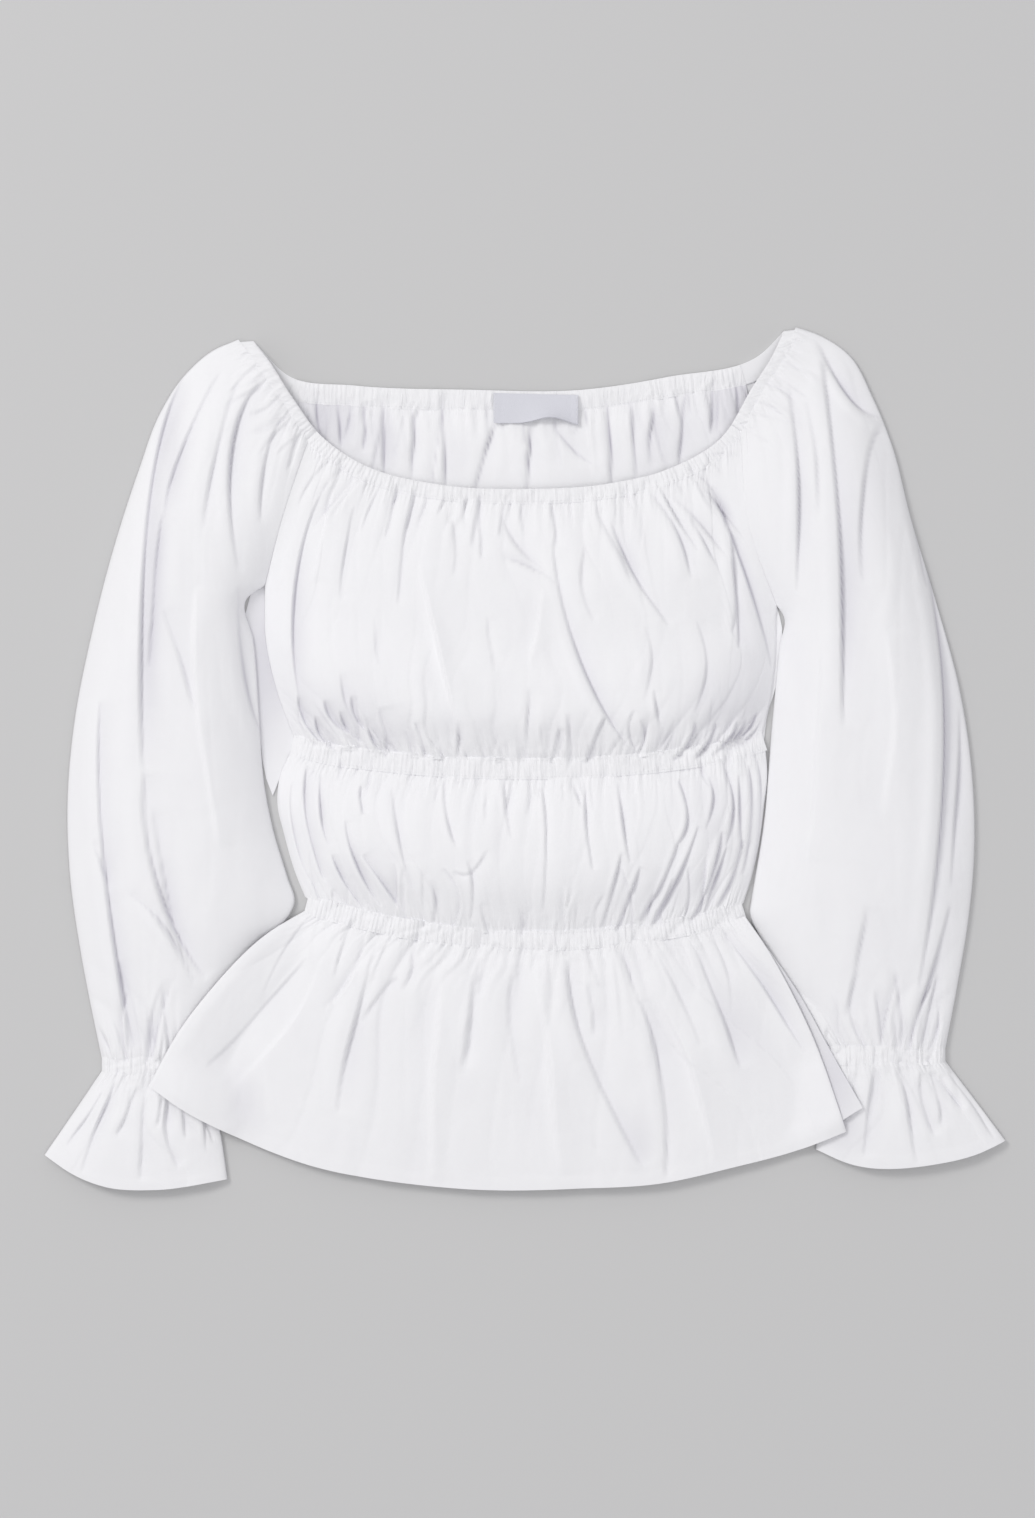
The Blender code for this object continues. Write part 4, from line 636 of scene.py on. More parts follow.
def smooth_values(places, values, wanted):
    """Values at the wanted places: a cubic between rows, with each row's slope from its neighbours."""
    places = np.asarray(places, float)
    values = np.asarray(values, float)
    slopes = np.gradient(values, places, axis=0)
    row = np.clip(np.searchsorted(places, wanted, side="right") - 1, 0, len(places) - 2)
    span = (places[row + 1] - places[row])[:, None]
    t = (wanted[:, None] - places[row][:, None]) / span
    return (
        (1 + 2 * t) * (1 - t) ** 2 * values[row]
        + t * (1 - t) ** 2 * span * slopes[row]
        + t * t * (3 - 2 * t) * values[row + 1]
        + t * t * (t - 1) * span * slopes[row + 1]
    )


def run_of(line):
    """Length from the first point to each point of a line."""
    steps = np.linalg.norm(np.diff(line, axis=0), axis=1)
    return np.concatenate(([0.0], np.cumsum(steps)))


def shares_of(line):
    """Share of a line's length at each of its points."""
    run = run_of(line)
    return run / run[-1]


def points_at(wanted, run, line):
    """Points of a line at wanted places of its run."""
    return np.stack([np.interp(wanted, run, axis) for axis in line.T], axis=-1)


def along(points, shares, first=0, last=-1):
    """Points on a smooth curve through a table, at shares of its length between two of its rows."""
    knots = np.array(points, float)
    chord = run_of(knots)
    fine = np.linspace(0.0, chord[-1], CURVE_STEPS)
    curve = smooth_values(chord, knots, fine)
    run = run_of(curve)
    start, end = np.interp((chord[first], chord[last]), fine, run)
    wanted = start + (end - start) * np.asarray(shares)
    return points_at(wanted, run, curve)


def beside(line, distance):
    """The line moved in plan, to the right of its own direction."""
    direction = np.gradient(line, axis=0)
    side = np.stack((direction[:, 1], -direction[:, 0]), axis=-1)
    side /= np.linalg.norm(side, axis=1, keepdims=True)
    moved = line.copy()
    moved[:, :2] += np.reshape(distance, (-1, 1)) * side
    return moved


def spread(count):
    """Shares from 0 to 1 in a number of equal steps."""
    return np.linspace(0.0, 1.0, count + 1)


def edge_spread(count):
    """Shares from 0 to 1 that close up towards both ends."""
    share = spread(count)
    return share - EDGE_CLOSING * np.sin(2 * np.pi * share)


def spreads(counts):
    """Shares across a grid, which close up towards its sides, and down it, in equal steps."""
    return edge_spread(counts.across), spread(counts.down)


def softened(edge):
    """An edge with its corners rounded by a sliding average along it. Its two ends stay."""
    reach = max(1, int(EDGE_ROUNDING * len(edge)))
    weights = np.hanning(2 * reach + 3)[1:-1]
    weights /= weights.sum()
    before = 2 * edge[0] - edge[reach:0:-1]
    after = 2 * edge[-1] - edge[-2:-reach - 2:-1]
    longer = np.concatenate((before, edge, after))
    return np.stack([np.convolve(axis, weights, "valid") for axis in longer.T], axis=-1)


def patch(top, bottom, left, right, across, down):
    """Grid between four edges by Coons' rule: both straight blends less the blend of the corners.

    A corner in a side edge is rounded for the inside, and comes back within a power of the way to the
    edge."""
    across = np.asarray(across)[None, :, None]
    down = np.asarray(down)[:, None, None]
    ends = (1 - down) * top[None] + down * bottom[None]
    sides = 0
    for edge, share in ((left, 1 - across), (right, across)):
        soft = softened(edge)
        sides = sides + share * soft[:, None] + share ** EDGE_HOLD * (edge - soft)[:, None]
    corners = (1 - down) * ((1 - across) * top[0] + across * top[-1])
    corners = corners + down * ((1 - across) * bottom[0] + across * bottom[-1])
    return ends + sides - corners


def puff(sections, across, down):
    """Height over the edges: each row's crown times one less a power of the distance from the middle."""
    rows = np.array(sections, float)
    crown, fullness = smooth_values(rows[:, 0], rows[:, 1:], np.asarray(down)).T
    from_middle = np.abs(2 * np.asarray(across) - 1)[None, :]
    return crown[:, None] * (1 - from_middle ** fullness[:, None])


def fold_relief(plan, folds, depth=1.0):
    """Height that folds add, and the painted shade in their creases. Each follows a parabola through three
    points.

    Across it, a fold falls steeply on its left and comes back softly on its right, and the cloth swells
    beside its steep side. Along it, it fades to nothing at both ends, and a sine makes it wander aside and
    vary in depth. The painted shade is a narrow bell on the line of each fold that goes down, where shade
    falls in its crease."""
    relief, shade = np.zeros((2, *plan.shape[:2]))
    share = spread(FOLD_STEPS)[:, None]
    for fold in folds:
        start, middle, end = np.array(fold[:6], float).reshape(3, 2)
        bend = 2 * middle - (start + end) / 2
        route = (1 - share) ** 2 * start + 2 * share * (1 - share) * bend + share ** 2 * end
        reach = FOLD_REACH * fold.width
        near = (plan[:, :, :2] > route.min(axis=0) - reach) & (plan[:, :, :2] < route.max(axis=0) + reach)
        near = near.all(axis=-1)
        if not near.any():
            continue
        offset = plan[near][:, None, :2] - route
        nearest = np.linalg.norm(offset, axis=-1).argmin(axis=-1)
        heading = np.gradient(route, axis=0)[nearest]
        toward = offset[np.arange(len(nearest)), nearest]
        step = np.linalg.norm(heading, axis=-1)
        away = (heading[:, 0] * toward[:, 1] - heading[:, 1] * toward[:, 0]) / step / fold.width
        place = (nearest + (heading * toward).sum(axis=-1) / step ** 2) / FOLD_STEPS
        wave = 2 * np.pi * FOLD_WAVES * place + fold.x0
        away = away + FOLD_WANDER * np.sin(wave)
        left = away < 0
        side = np.where(left, STEEP_LEAST / fold.width + STEEP_SHARE, SOFT_SIDE)
        slope = np.exp(-(np.abs(away / side) ** np.where(left, STEEP_POWER, SOFT_POWER)))
        shoulder = FOLD_SHOULDER * np.exp(-((away - FOLD_SHOULDER_AT) / FOLD_SHOULDER_WIDTH) ** 2)
        fade = np.sqrt(np.sin(np.pi * np.clip(place, 0, 1)).clip(0)) * (1 + FOLD_UNEVEN * np.cos(wave))
        relief[near] += depth * fold.rise * fade * (slope - shoulder)
        # Painted shade on the fold's line, darker where shade falls in a deep crease
        line = np.exp(-((away * fold.width / CREASE_SHADE_WIDTH) ** 2))
        shade[near] += CREASE_SHADE * depth * max(-fold.rise, 0.0) * fade * line
    return relief, shade


def scattered(line, side, settings):
    """Folds that run from a seam into the cloth, which lies to the right of the seam's run, or left for -1.

    Each starts a little before the seam, at its own place along it, and heads square to it, leaning outwards
    with the distance from the seam's middle. Most are short and shallow, and a few are long and deep: their
    length and depth grow with a power of chance. Some have their steep side on the other side."""
    chance = np.random.default_rng(settings.seed)
    count = settings.count
    place = (np.arange(count) + chance.uniform(*SCATTER_PLACES, count)) / count
    run = shares_of(line)
    seam = points_at(place, run, line)[:, :2]
    heading = points_at(place, run, np.gradient(line, axis=0))
    square = side * np.stack((heading[:, 1], -heading[:, 0]), axis=-1)
    turn = np.arctan2(square[:, 1], square[:, 0])
    turn += side * settings.fan * (2 * place - 1)
    turn += chance.normal(0.0, settings.lean, count)
    heading = np.stack((np.cos(turn), np.sin(turn)), axis=-1)
    size = chance.random(count) ** SCATTER_POWER
    length = settings.reach * (SCATTER_LENGTH[0] + SCATTER_LENGTH[1] * size)
    depth = SCATTER_LEAST + chance.random(count) ** SCATTER_DEPTH_POWER
    rise = -settings.depth * depth * (SCATTER_DEPTH[0] + SCATTER_DEPTH[1] * size)
    width = settings.width * chance.uniform(*SCATTER_WIDTHS, count)
    start = seam - SCATTER_START * heading
    end = seam + length[:, None] * heading
    bow = chance.normal(0.0, SCATTER_BOW, count) * length
    middle = (start + end) / 2 + bow[:, None] * np.stack((-heading[:, 1], heading[:, 0]), axis=-1)
    mirrored = chance.random(count)[:, None] < SCATTER_MIRRORED
    first = np.where(mirrored, end, start)
    last = np.where(mirrored, start, end)
    return [Fold(*row) for row in np.column_stack((first, middle, last, rise, width))]


def ruches(position, distance, rows, depth=1.0):
    """Height of gathers at a seam, from the position along it and the distance from it.

    Each gather is a ridge between two pinched valleys: the sine of its own span to a power under one, with
    its crest drawn to one side. Its span, crest, height and reach vary by chance. It fades as it leaves the
    seam, wanders aside, and leans outwards the more the further it is from the seam's middle."""
    relief = np.zeros(np.broadcast(position, distance).shape)
    length = position.max()
    for row in rows:
        chance = np.random.default_rng(row.seed)
        count = max(2, int(length / row.spacing))
        shift = chance.uniform(-GATHER_SHIFT, GATHER_SHIFT, count + 1)
        edges = (np.arange(count + 1) + shift) * length / count
        edges[0], edges[-1] = 0.0, length
        heights = row.depth * depth * (GATHER_HEIGHT[0] + GATHER_HEIGHT[1] * chance.random(count))
        further = chance.random(count) ** GATHER_REACH_POWER
        reaches = row.reach * (GATHER_REACH[0] + GATHER_REACH[1] * further)
        crests = chance.uniform(*GATHER_CRESTS, count)
        along_seam = position / (GATHER_WANDER * row.spacing) + 0 * distance
        wander = soft_noise(along_seam, distance / row.reach, row.seed + WANDER_SEED)
        lean = row.slant * wander - row.fan * (2 * position / length - 1)
        away = row.reach * np.tanh(distance / row.reach)
        place = np.interp(position + lean * away, edges, np.arange(count + 1))
        gather = np.clip(place.astype(int), 0, count - 1)
        share = np.clip(place - gather, 0, 1) ** crests[gather]
        ridge = np.sin(np.pi * share).clip(0) ** row.pinch
        fade = np.exp(-((distance / reaches[gather]) ** GATHER_FADE))
        relief += (heights[gather] * ridge - SINK * row.depth * depth) * fade
    return relief


def eased(share):
    """A share of the way from 0 to 1, by the smooth step of the fifth power."""
    return share * share * share * (share * (share * 6 - 15) + 10)


def soft_noise(x, y, seed):
    """Smooth noise from -1 to 1: random values on a square lattice, blended by smooth steps."""
    chance = np.random.default_rng(seed)
    low_x, low_y = np.floor(x.min()), np.floor(y.min())
    columns = int(x.max() - low_x) + 3
    rows = int(y.max() - low_y) + 3
    lattice = chance.uniform(-1, 1, (rows, columns))
    x, y = x - low_x, y - low_y
    i, j = x.astype(int), y.astype(int)
    s, t = eased(x - i), eased(y - j)
    upper = (1 - s) * lattice[j, i] + s * lattice[j, i + 1]
    lower = (1 - s) * lattice[j + 1, i] + s * lattice[j + 1, i + 1]
    return (1 - t) * upper + t * lower


def creases(plan, rows, depth=1.0):
    """Small creases: noise stretched down the cloth, bent by more noise, with some sharp valleys in it."""
    relief = np.zeros(plan.shape[:2])
    for row in rows:
        x, y = plan[..., 0] / row.across, plan[..., 1] / row.down
        bend = soft_noise(
            x * BEND_SCALE + BEND_START[0], y * BEND_SCALE + BEND_START[1], row.seed + BEND_SEED
        )
        soft = soft_noise(x + SOFT_BEND[0] * bend, y + SOFT_BEND[1] * bend, row.seed)
        sharp = soft_noise(SHARP_SCALE[0] * x + SHARP_BEND * bend, SHARP_SCALE[1] * y, row.seed + SHARP_SEED)
        sharp = np.minimum(np.abs(sharp), CREASE_SHARP_MOST)
        relief += depth * row.height * (CREASE_SOFT * soft + CREASE_SHARP * sharp)
    return relief


def distance_from_top(grid):
    """How far each point lies from the top of its own column."""
    steps = np.linalg.norm(np.diff(grid[:, :, :2], axis=0), axis=2)
    return np.concatenate((np.zeros((1, grid.shape[1])), np.cumsum(steps, axis=0)))


def distance_from_bottom(grid):
    """How far each point lies from the bottom of its own column."""
    run = distance_from_top(grid)
    return run[-1:] - run


def distance_from_left(grid):
    """How far each point lies from the left end of its own row."""
    return distance_from_top(grid.swapaxes(0, 1)).T


def bodice_folds():
    """The bust panel's own folds and those scattered along both its elastics."""
    share = spread(ROUGH_COLUMNS)
    top = beside(elastic_line("front", share), NECK_CASING)
    bottom = beside(elastic_line("bust", share), -BUST_CASING / 2)
    return [*BODICE_FOLDS, *scattered(top, 1, NECK_SCATTER), *scattered(bottom, -1, BUST_SCATTER)]


def midriff_folds():
    """The folds between the two elastics."""
    share = spread(ROUGH_COLUMNS)
    top = beside(elastic_line("bust", share), BUST_CASING / 2)
    bottom = beside(elastic_line("waist", share), -WAIST_CASING / 2)
    small = (*scattered(top, 1, UNDER_BUST_SCATTER), *scattered(bottom, -1, OVER_WAIST_SCATTER))
    return [*MIDRIFF_FOLDS, *small]


def peplum_folds():
    """The folds below the waist."""
    top = beside(elastic_line("waist", spread(ROUGH_COLUMNS)), WAIST_CASING / 2)
    return [*PEPLUM_FOLDS, *scattered(top, 1, WAIST_SCATTER)]


def back_neck_folds():
    """The folds of the back, as it shows in the neck opening."""
    top = beside(elastic_line("back", spread(ROUGH_COLUMNS)), BACK_NECK_CASING)
    return [*BACK_NECK_FOLDS, *scattered(top, 1, BACK_NECK_SCATTER)]


def sleeve_folds(arm):
    """A sleeve's own folds and those scattered along the neckline and the wrist."""
    share = spread(ROUGH_COLUMNS)
    top = beside(elastic_line(arm.name, share), NECK_CASING * arm.turn)
    wrist = straight(*arm.wrist, share) + np.array((0.0, WRIST_CASING / 2, 0.0))
    small = (*scattered(top, arm.turn, SHOULDER_SCATTER), *scattered(wrist, -arm.turn, WRIST_SCATTER))
    return [*arm.folds, *small]


def flounce_folds(arm):
    """A flounce's own folds and those scattered along the wrist."""
    top = straight(*arm.wrist, spread(ROUGH_COLUMNS)) - np.array((0.0, WRIST_CASING / 2, 0.0))
    return [*arm.flounce.folds, *scattered(top, arm.turn, FLOUNCE_SCATTER)]


def painted_shade_patches(plan, rows):
    """Painted shade where shade falls on the cloth: a bell round each patch's middle."""
    shade = np.zeros(plan.shape[:2])
    for row in rows:
        away = ((plan[..., 0] - row.x) / row.across) ** 2 + ((plan[..., 1] - row.y) / row.down) ** 2
        shade += row.shade * np.exp(-away)
    return shade


def seam_distance(run):
    """Distance from a casing's edge, for cloth that runs on under it, and how far the cloth dips there.

    The dip grows by the root of the way under the casing, so that it starts steeply at the casing's edge."""
    under = np.clip(1 - run / UNDERLAP, 0, 1)
    return np.maximum(run - UNDERLAP - OVERLAP, 0.0), UNDERLAP_DROP * np.sqrt(under)


def between_casings(down, length, below):
    """Shares of the way down a panel, measured between the edges of the casings that it runs on under."""
    under = (UNDERLAP + OVERLAP) / length
    return np.clip((down - under) / (1 - under - below * under), 0, 1)


def hem_relief(distance):
    """A turned hem: thicker within its width of the edge, with a groove where it is stitched down."""
    step = 1 / (1 + np.exp((distance - HEM) / HEM_STEP))
    groove = np.exp(-(((distance - HEM + HEM_GROOVE_IN) / HEM_GROOVE_WIDTH) ** 2))
    return HEM_THICK * step - HEM_GROOVE * groove


def raised(grid, height):
    """The grid moved up by a height at each point."""
    moved = grid.copy()
    moved[:, :, 2] += height
    return moved


def kept_above(grid, lowest):
    """The grid with every point at least at the given height, reached smoothly."""
    moved = grid.copy()
    over = moved[:, :, 2] - lowest
    rounded = np.sqrt(over ** 2 + REST_SOFTNESS) - np.sqrt(REST_SOFTNESS)
    moved[:, :, 2] = lowest + (over + rounded) / 2
    return moved


def flat(line, height):
    """The line or grid laid at one height."""
    laid = np.array(line, float)
    laid[..., 2] = height
    return laid


def middle_of(start, end):
    """The middle of a straight seam."""
    return (np.asarray(start) + np.asarray(end)) / 2


def straight(start, end, shares):
    """Points at shares of the way from one point to another."""
    return (1 - shares[:, None]) * np.asarray(start) + shares[:, None] * np.asarray(end)


def between(upper, lower, down):
    """The grid whose rows lie at shares of the way from one line to another."""
    down = down[:, None, None]
    return (1 - down) * upper + down * lower


def seam_position(line, across):
    """How far along a seam each column of a grid lies, as one row."""
    return (across * run_of(line)[-1])[None]


def seam_spread(counts, share):
    """Shares of the way down with their own counts above and below the underarm, where they meet."""
    above, below = counts
    return np.concatenate((share * spread(above), share + (1 - share) * spread(below)[1:]))


def fading_at_sides(across):
    """One over most of a panel, falling to nothing at its sides."""
    return 1 - np.abs(2 * across - 1) ** SIDE_FADE


def rounded_under(away):
    """Height of an underside near a folded edge: a quarter circle, level with the fold at the edge."""
    share = np.clip(away / FOLD_ROUND, 0.0, 1.0)
    return FOLDED_EDGE * (1 - np.sqrt(1 - (1 - share) ** 2))


def rounded_over(away, reach):
    """How far a folded edge's upper side rounds up: a quarter circle over its reach."""
    share = np.clip(away / reach, 0.0, 1.0)
    return FOLD_LIP * np.sqrt(1 - (1 - share) ** 2)


def closed_sides(grid, open_share):
    """The grid with its side edges turned down to the layer below, as at a side seam.

    It turns down over its last millimetres, by the square of what is left, below a share of its rows."""
    from_left = distance_from_left(grid)
    away = np.minimum(from_left, from_left[:, -1:] - from_left)
    rows = np.clip((spread(len(grid) - 1) - open_share) / SEAM_START, 0, 1)[:, None]
    return raised(grid, -SEAM_DROP * rows * (1 - np.clip(away / SEAM_TURN, 0, 1)) ** 2)


def bridge(distance, share):
    """How far the cloth is raised beside a raglan seam, so that it crosses the seam without a valley.

    It falls off as a power of e to both sides, and grows and fades by a sine along the seam."""
    return BRIDGE * np.sin(np.pi * np.clip(share, 0, 1)) * np.exp(-distance / BRIDGE_REACH)


def casing_foot(line, casing, distance, arm):
    """A line beside a sleeve's neckline, drawn out at the shoulder so that the casing ends at its peak."""
    drawn = np.asarray(arm.peak) - beside(line, casing * arm.turn)[-1]
    foot = beside(line, distance * arm.turn)
    foot[:, :2] += drawn[:2] * shares_of(line)[:, None] ** PEAK_DRAW
    return foot


def elastic_line(name, across):
    """One stretch of the neckline, or the middle of an elastic below it.

    The stretches on the sleeves run from the raglan seam to the shoulder."""
    table, start, end = {
        "front": (NECK_FRONT, LEFT_RAGLAN_AT, RIGHT_RAGLAN_AT),
        "left": (NECK_FRONT, LEFT_RAGLAN_AT, 0.0),
        "right": (NECK_FRONT, RIGHT_RAGLAN_AT, 1.0),
        "back": (NECK_BACK, LEFT_BACK_RAGLAN_AT, RIGHT_BACK_RAGLAN_AT),
        "back_left": (NECK_BACK, LEFT_BACK_RAGLAN_AT, 0.0),
        "back_right": (NECK_BACK, RIGHT_BACK_RAGLAN_AT, 1.0),
        "bust": (BUST_LINE, 0.0, 1.0),
        "waist": (WAIST_LINE, 0.0, 1.0),
    }[name]
    return along(table, start + (end - start) * across)


def two_part_edge(seam, side, down, share):
    """An edge that follows a seam for the first share of its rows and a table's curve for the rest."""
    first = down <= share + ROUNDING
    upper = along(seam, down[first] / share)
    lower = along(side, (down[~first] - share) / (1 - share))
    return np.concatenate((upper, lower))


def bodice_grid(across, down):
    """The bust panel's plan and edges, before it is puffed up."""
    top = beside(elastic_line("front", across), NECK_CASING - UNDERLAP)
    left, right = (
        two_part_edge((end, arm.raglan_middle, arm.underarm), side, down, BODICE_SEAM_SHARE)
        for end, arm, side in ((top[0], LEFT, LEFT_FRONT_SIDE), (top[-1], RIGHT, RIGHT_FRONT_SIDE))
    )
    bottom = beside(elastic_line("bust", across), UNDERLAP - BUST_CASING / 2)
    bottom[0], bottom[-1] = left[-1], right[-1]
    return patch(top, bottom, left, right, across, down)


def back_bodice_grid(across, down):
    """The back panel's plan, flat on the surface."""
    top = beside(elastic_line("back", across), BACK_NECK_CASING)
    left, right = (
        two_part_edge((end, middle_of(end, arm.underarm), arm.underarm), side, down, BACK_SEAM_SHARE)
        for end, arm, side in ((top[0], LEFT, LEFT_BACK_SIDE), (top[-1], RIGHT, RIGHT_BACK_SIDE))
    )
    bottom = elastic_line("bust", across)
    bottom[0], bottom[-1] = left[-1], right[-1]
    return flat(patch(top, bottom, left, right, across, down), WALL)


def midriff_grid(across, down):
    """The plan and edges of a panel between the elastics."""
    top = beside(elastic_line("bust", across), BUST_CASING / 2 - UNDERLAP)
    bottom = beside(elastic_line("waist", across), UNDERLAP - WAIST_CASING / 2)
    left = along(LEFT_MIDRIFF_SIDE, down)
    right = along(RIGHT_MIDRIFF_SIDE, down)
    for end, side in ((0, left), (-1, right)):
        top[end], bottom[end] = side[0], side[-1]
    return patch(top, bottom, left, right, across, down)


def peplum_grid(across, down):
    """The front peplum's plan and edges."""
    top = beside(elastic_line("waist", across), WAIST_CASING / 2 - UNDERLAP)
    left = along(LEFT_PEPLUM_SIDE, down)
    right = along(RIGHT_PEPLUM_SIDE, down)
    top[0], top[-1] = left[0], right[0]
    return patch(top, along(PEPLUM_HEM, across), left, right, across, down)


def back_peplum_grid(across, down):
    """The back peplum's plan, flat on the surface."""
    top = beside(elastic_line("waist", across), WAIST_CASING / 2)
    left = along(LEFT_BACK_PEPLUM_SIDE, down)
    right = along(RIGHT_BACK_PEPLUM_SIDE, down)
    return flat(patch(top, along(BACK_PEPLUM_HEM, across), left, right, across, down), WALL)


def sleeve_layers(arm, across, lower_across, rows):
    """The upper and lower layers of a sleeve in plan, and the share of the way down of each row."""
    neck_front = elastic_line(arm.name, across)
    neck_back = elastic_line("back_" + arm.name, lower_across)
    top = casing_foot(neck_front, NECK_CASING, NECK_CASING - UNDERLAP, arm)
    top_back = casing_foot(neck_back, BACK_NECK_CASING, BACK_NECK_CASING, arm)
    share = SLEEVE_SEAM_SHARE
    above = rows <= share + ROUNDING
    outer_edge = np.concatenate((
        along(arm.outer, rows[above] / share, 0, OUTER_AT_UNDERARM),
        along(arm.outer, (rows[~above] - share) / (1 - share), OUTER_AT_UNDERARM, -1),
    ))
    outer_edge[0] = flat(top[-1], FOLDED_EDGE)
    top[-1] = top_back[-1] = outer_edge[0]
    seams = []
    for start, middle in (
        (top[0], arm.raglan_middle), (top_back[0], middle_of(top_back[0], arm.underarm))
    ):
        seams.append(two_part_edge((start, middle, arm.underarm), arm.inner, rows, share))
    down = shares_of(outer_edge)
    bottom = straight(seams[0][-1], outer_edge[-1], across)
    bottom_back = straight(seams[0][-1], outer_edge[-1], lower_across)
    upper = patch(top, bottom, seams[0], outer_edge, across, down)
    lower = patch(top_back, bottom_back, seams[1], outer_edge, lower_across, down)
    return upper, lower, down


def folded_tube(upper, lower, across, sections, down, seam_rows, extra):
    """A flattened tube: a puffed upper layer and a flat lower one, joined at their folded edges.

    The upper layer rounds up from each fold by a quarter circle. On the seam rows the inner ends of the two
    layers stay apart, and there the upper one leaves its seam more slowly."""
    width = distance_from_left(upper)
    slow = SEAM_SLOWER * np.clip(1 - np.arange(len(upper)) / max(seam_rows, 1), 0, 1)[:, None]
    inner, outer = rounded_over(width, FOLD_ROUND + slow), rounded_over(width[:, -1:] - width, FOLD_ROUND)
    rounding = np.minimum(inner, outer)
    top = raised(upper, puff(sections, across, down) + rounding + extra)
    top[:, 1:-1, 2] = np.maximum(top[:, 1:-1, 2], FOLDED_EDGE + FOLD_LEAST)
    top[:, -1, 2] = FOLDED_EDGE
    top[seam_rows:, 0, 2] = FOLDED_EDGE
    run = distance_from_left(lower)
    bottom = lower.copy()
    bottom[:, :, 2] = rounded_under(run[:, -1:] - run)
    bottom[seam_rows:, :, 2] = np.maximum(bottom[seam_rows:, :, 2], rounded_under(run[seam_rows:]))
    bottom[seam_rows:, 0] = top[seam_rows:, 0]
    bottom[:, -1] = top[:, -1]
    return np.concatenate((top, bottom[:, ::-1][:, 1:]), axis=1)


def band_relief(position, grid, above, below, folds, settings, free_top=False):
    """A casing's own relief, full along its middle, grooved at its stitching and crinkled by its elastic.

    The gathers, folds and creases of the cloth above and below it run on into it, from its two edges. A top
    that is free, as at the neckline, is a fold that rounds down."""
    distance = distance_from_top(grid)
    width = distance[-1:]
    full = CASING_FULL * (1 - np.abs(2 * distance / width - 1) ** 4)
    edge = np.minimum(distance, width - distance)
    groove = STITCH_GROOVE * np.exp(-(((edge - STITCH_INSET) / STITCH_GROOVE_WIDTH) ** 2))
    turned = free_top * CASING_RIM_DROP * (1 - rounded_over(distance, CASING_RIM_ROUND) / FOLD_LIP)
    relief, shade = fold_relief(grid, folds, settings.fold_depth)
    relief += creases(grid, POPLIN_CREASES, settings.crease_depth)
    relief += ruches(position, 0 * edge, (ELASTIC,), settings.gather_depth)
    for rows, away in ((above, distance), (below, width - distance)):
        relief += ruches(position, away * CASING_HOLD, rows, settings.gather_depth)
    # The second value is the painted shade in the folds' creases
    return full - groove - turned + relief, shade


def cloth_relief(plan, folds, seams, settings, small=POPLIN_CREASES):
    """Height of a panel's folds, small creases and gathers, and the painted shade in its folds' creases.

    Each seam gives the position along it, the distance from it and its gathers."""
    relief, shade = fold_relief(plan, folds, settings.fold_depth)
    relief += creases(plan, small, settings.crease_depth)
    for position, distance, rows in seams:
        relief += ruches(position, distance, (ELASTIC, *rows), settings.gather_depth)
    return relief, shade


def sleeve_tube(arm, counts, settings=None):
    """A raglan balloon sleeve as one flattened tube. Its folds and gathers need the settings."""
    across, lower_across = edge_spread(counts.upper), edge_spread(counts.lower)
    seam_rows = counts.down[0]
    rows = seam_spread(counts.down, SLEEVE_SEAM_SHARE)
    upper, lower, down = sleeve_layers(arm, across, lower_across, rows)
    extra, shade, gather = np.zeros((3, *upper.shape[:2]))
    if settings:
        from_top, top_dip = seam_distance(distance_from_top(upper))
        from_wrist, wrist_dip = seam_distance(distance_from_bottom(upper))
        seams = (
            (seam_position(elastic_line(arm.name, across), across), from_top, SHOULDER_GATHERS),
            (seam_position(upper[-1], across), from_wrist, WRIST_GATHERS),
        )
        extra, shade = cloth_relief(upper, sleeve_folds(arm), seams, settings, SLEEVE_CREASES)
        extra = (extra - wrist_dip) * fading_at_sides(across) - top_dip
        extra += bridge(distance_from_left(upper), np.arange(len(upper))[:, None] / seam_rows)
        # Patches of painted shade where shade falls on the sleeve
        shade += painted_shade_patches(upper, ARM_PAINTED_SHADE)
        gather = gather_mask(np.minimum(from_top, from_wrist))
    tube = folded_tube(upper, lower, across, SLEEVE_PUFF, down, seam_rows, extra)
    return tube, marks(tube, extra - shade, gather)


def flounce_tube(arm, counts, settings=None):
    """The flared end below the wrist, as one flattened tube with a turned hem."""
    down = spread(counts.down)
    inner_edge, outer_edge = along(arm.flounce.inner, down), along(arm.flounce.outer, down)
    across, lower_across = edge_spread(counts.upper), edge_spread(counts.lower)
    layers = []
    for shares in (across, lower_across):
        top = straight(inner_edge[0], outer_edge[0], shares)
        layers.append(patch(top, along(arm.flounce.hem, shares), inner_edge, outer_edge, shares, down))
    upper = layers[0]
    extra, shade, gather = np.zeros((3, *upper.shape[:2]))
    if settings:
        from_top, dip = seam_distance(distance_from_top(upper))
        seams = ((seam_position(upper[0], across), from_top, FLOUNCE_GATHERS),)
        extra, shade = cloth_relief(upper, flounce_folds(arm), seams, settings, POPLIN_CREASES[1:])
        extra = (extra - dip + hem_relief(distance_from_bottom(upper))) * fading_at_sides(across)
        # The flounce's crease shade is painted lighter, and patches of painted shade are added where shade
        # falls on it
        shade = FLARED_CREASE_SHADE * shade + painted_shade_patches(upper, ARM_PAINTED_SHADE)
        gather = gather_mask(from_top)
    tube = folded_tube(*layers, across, FLOUNCE_PUFF, down, 0, extra)
    return tube, marks(tube, extra - shade, gather)


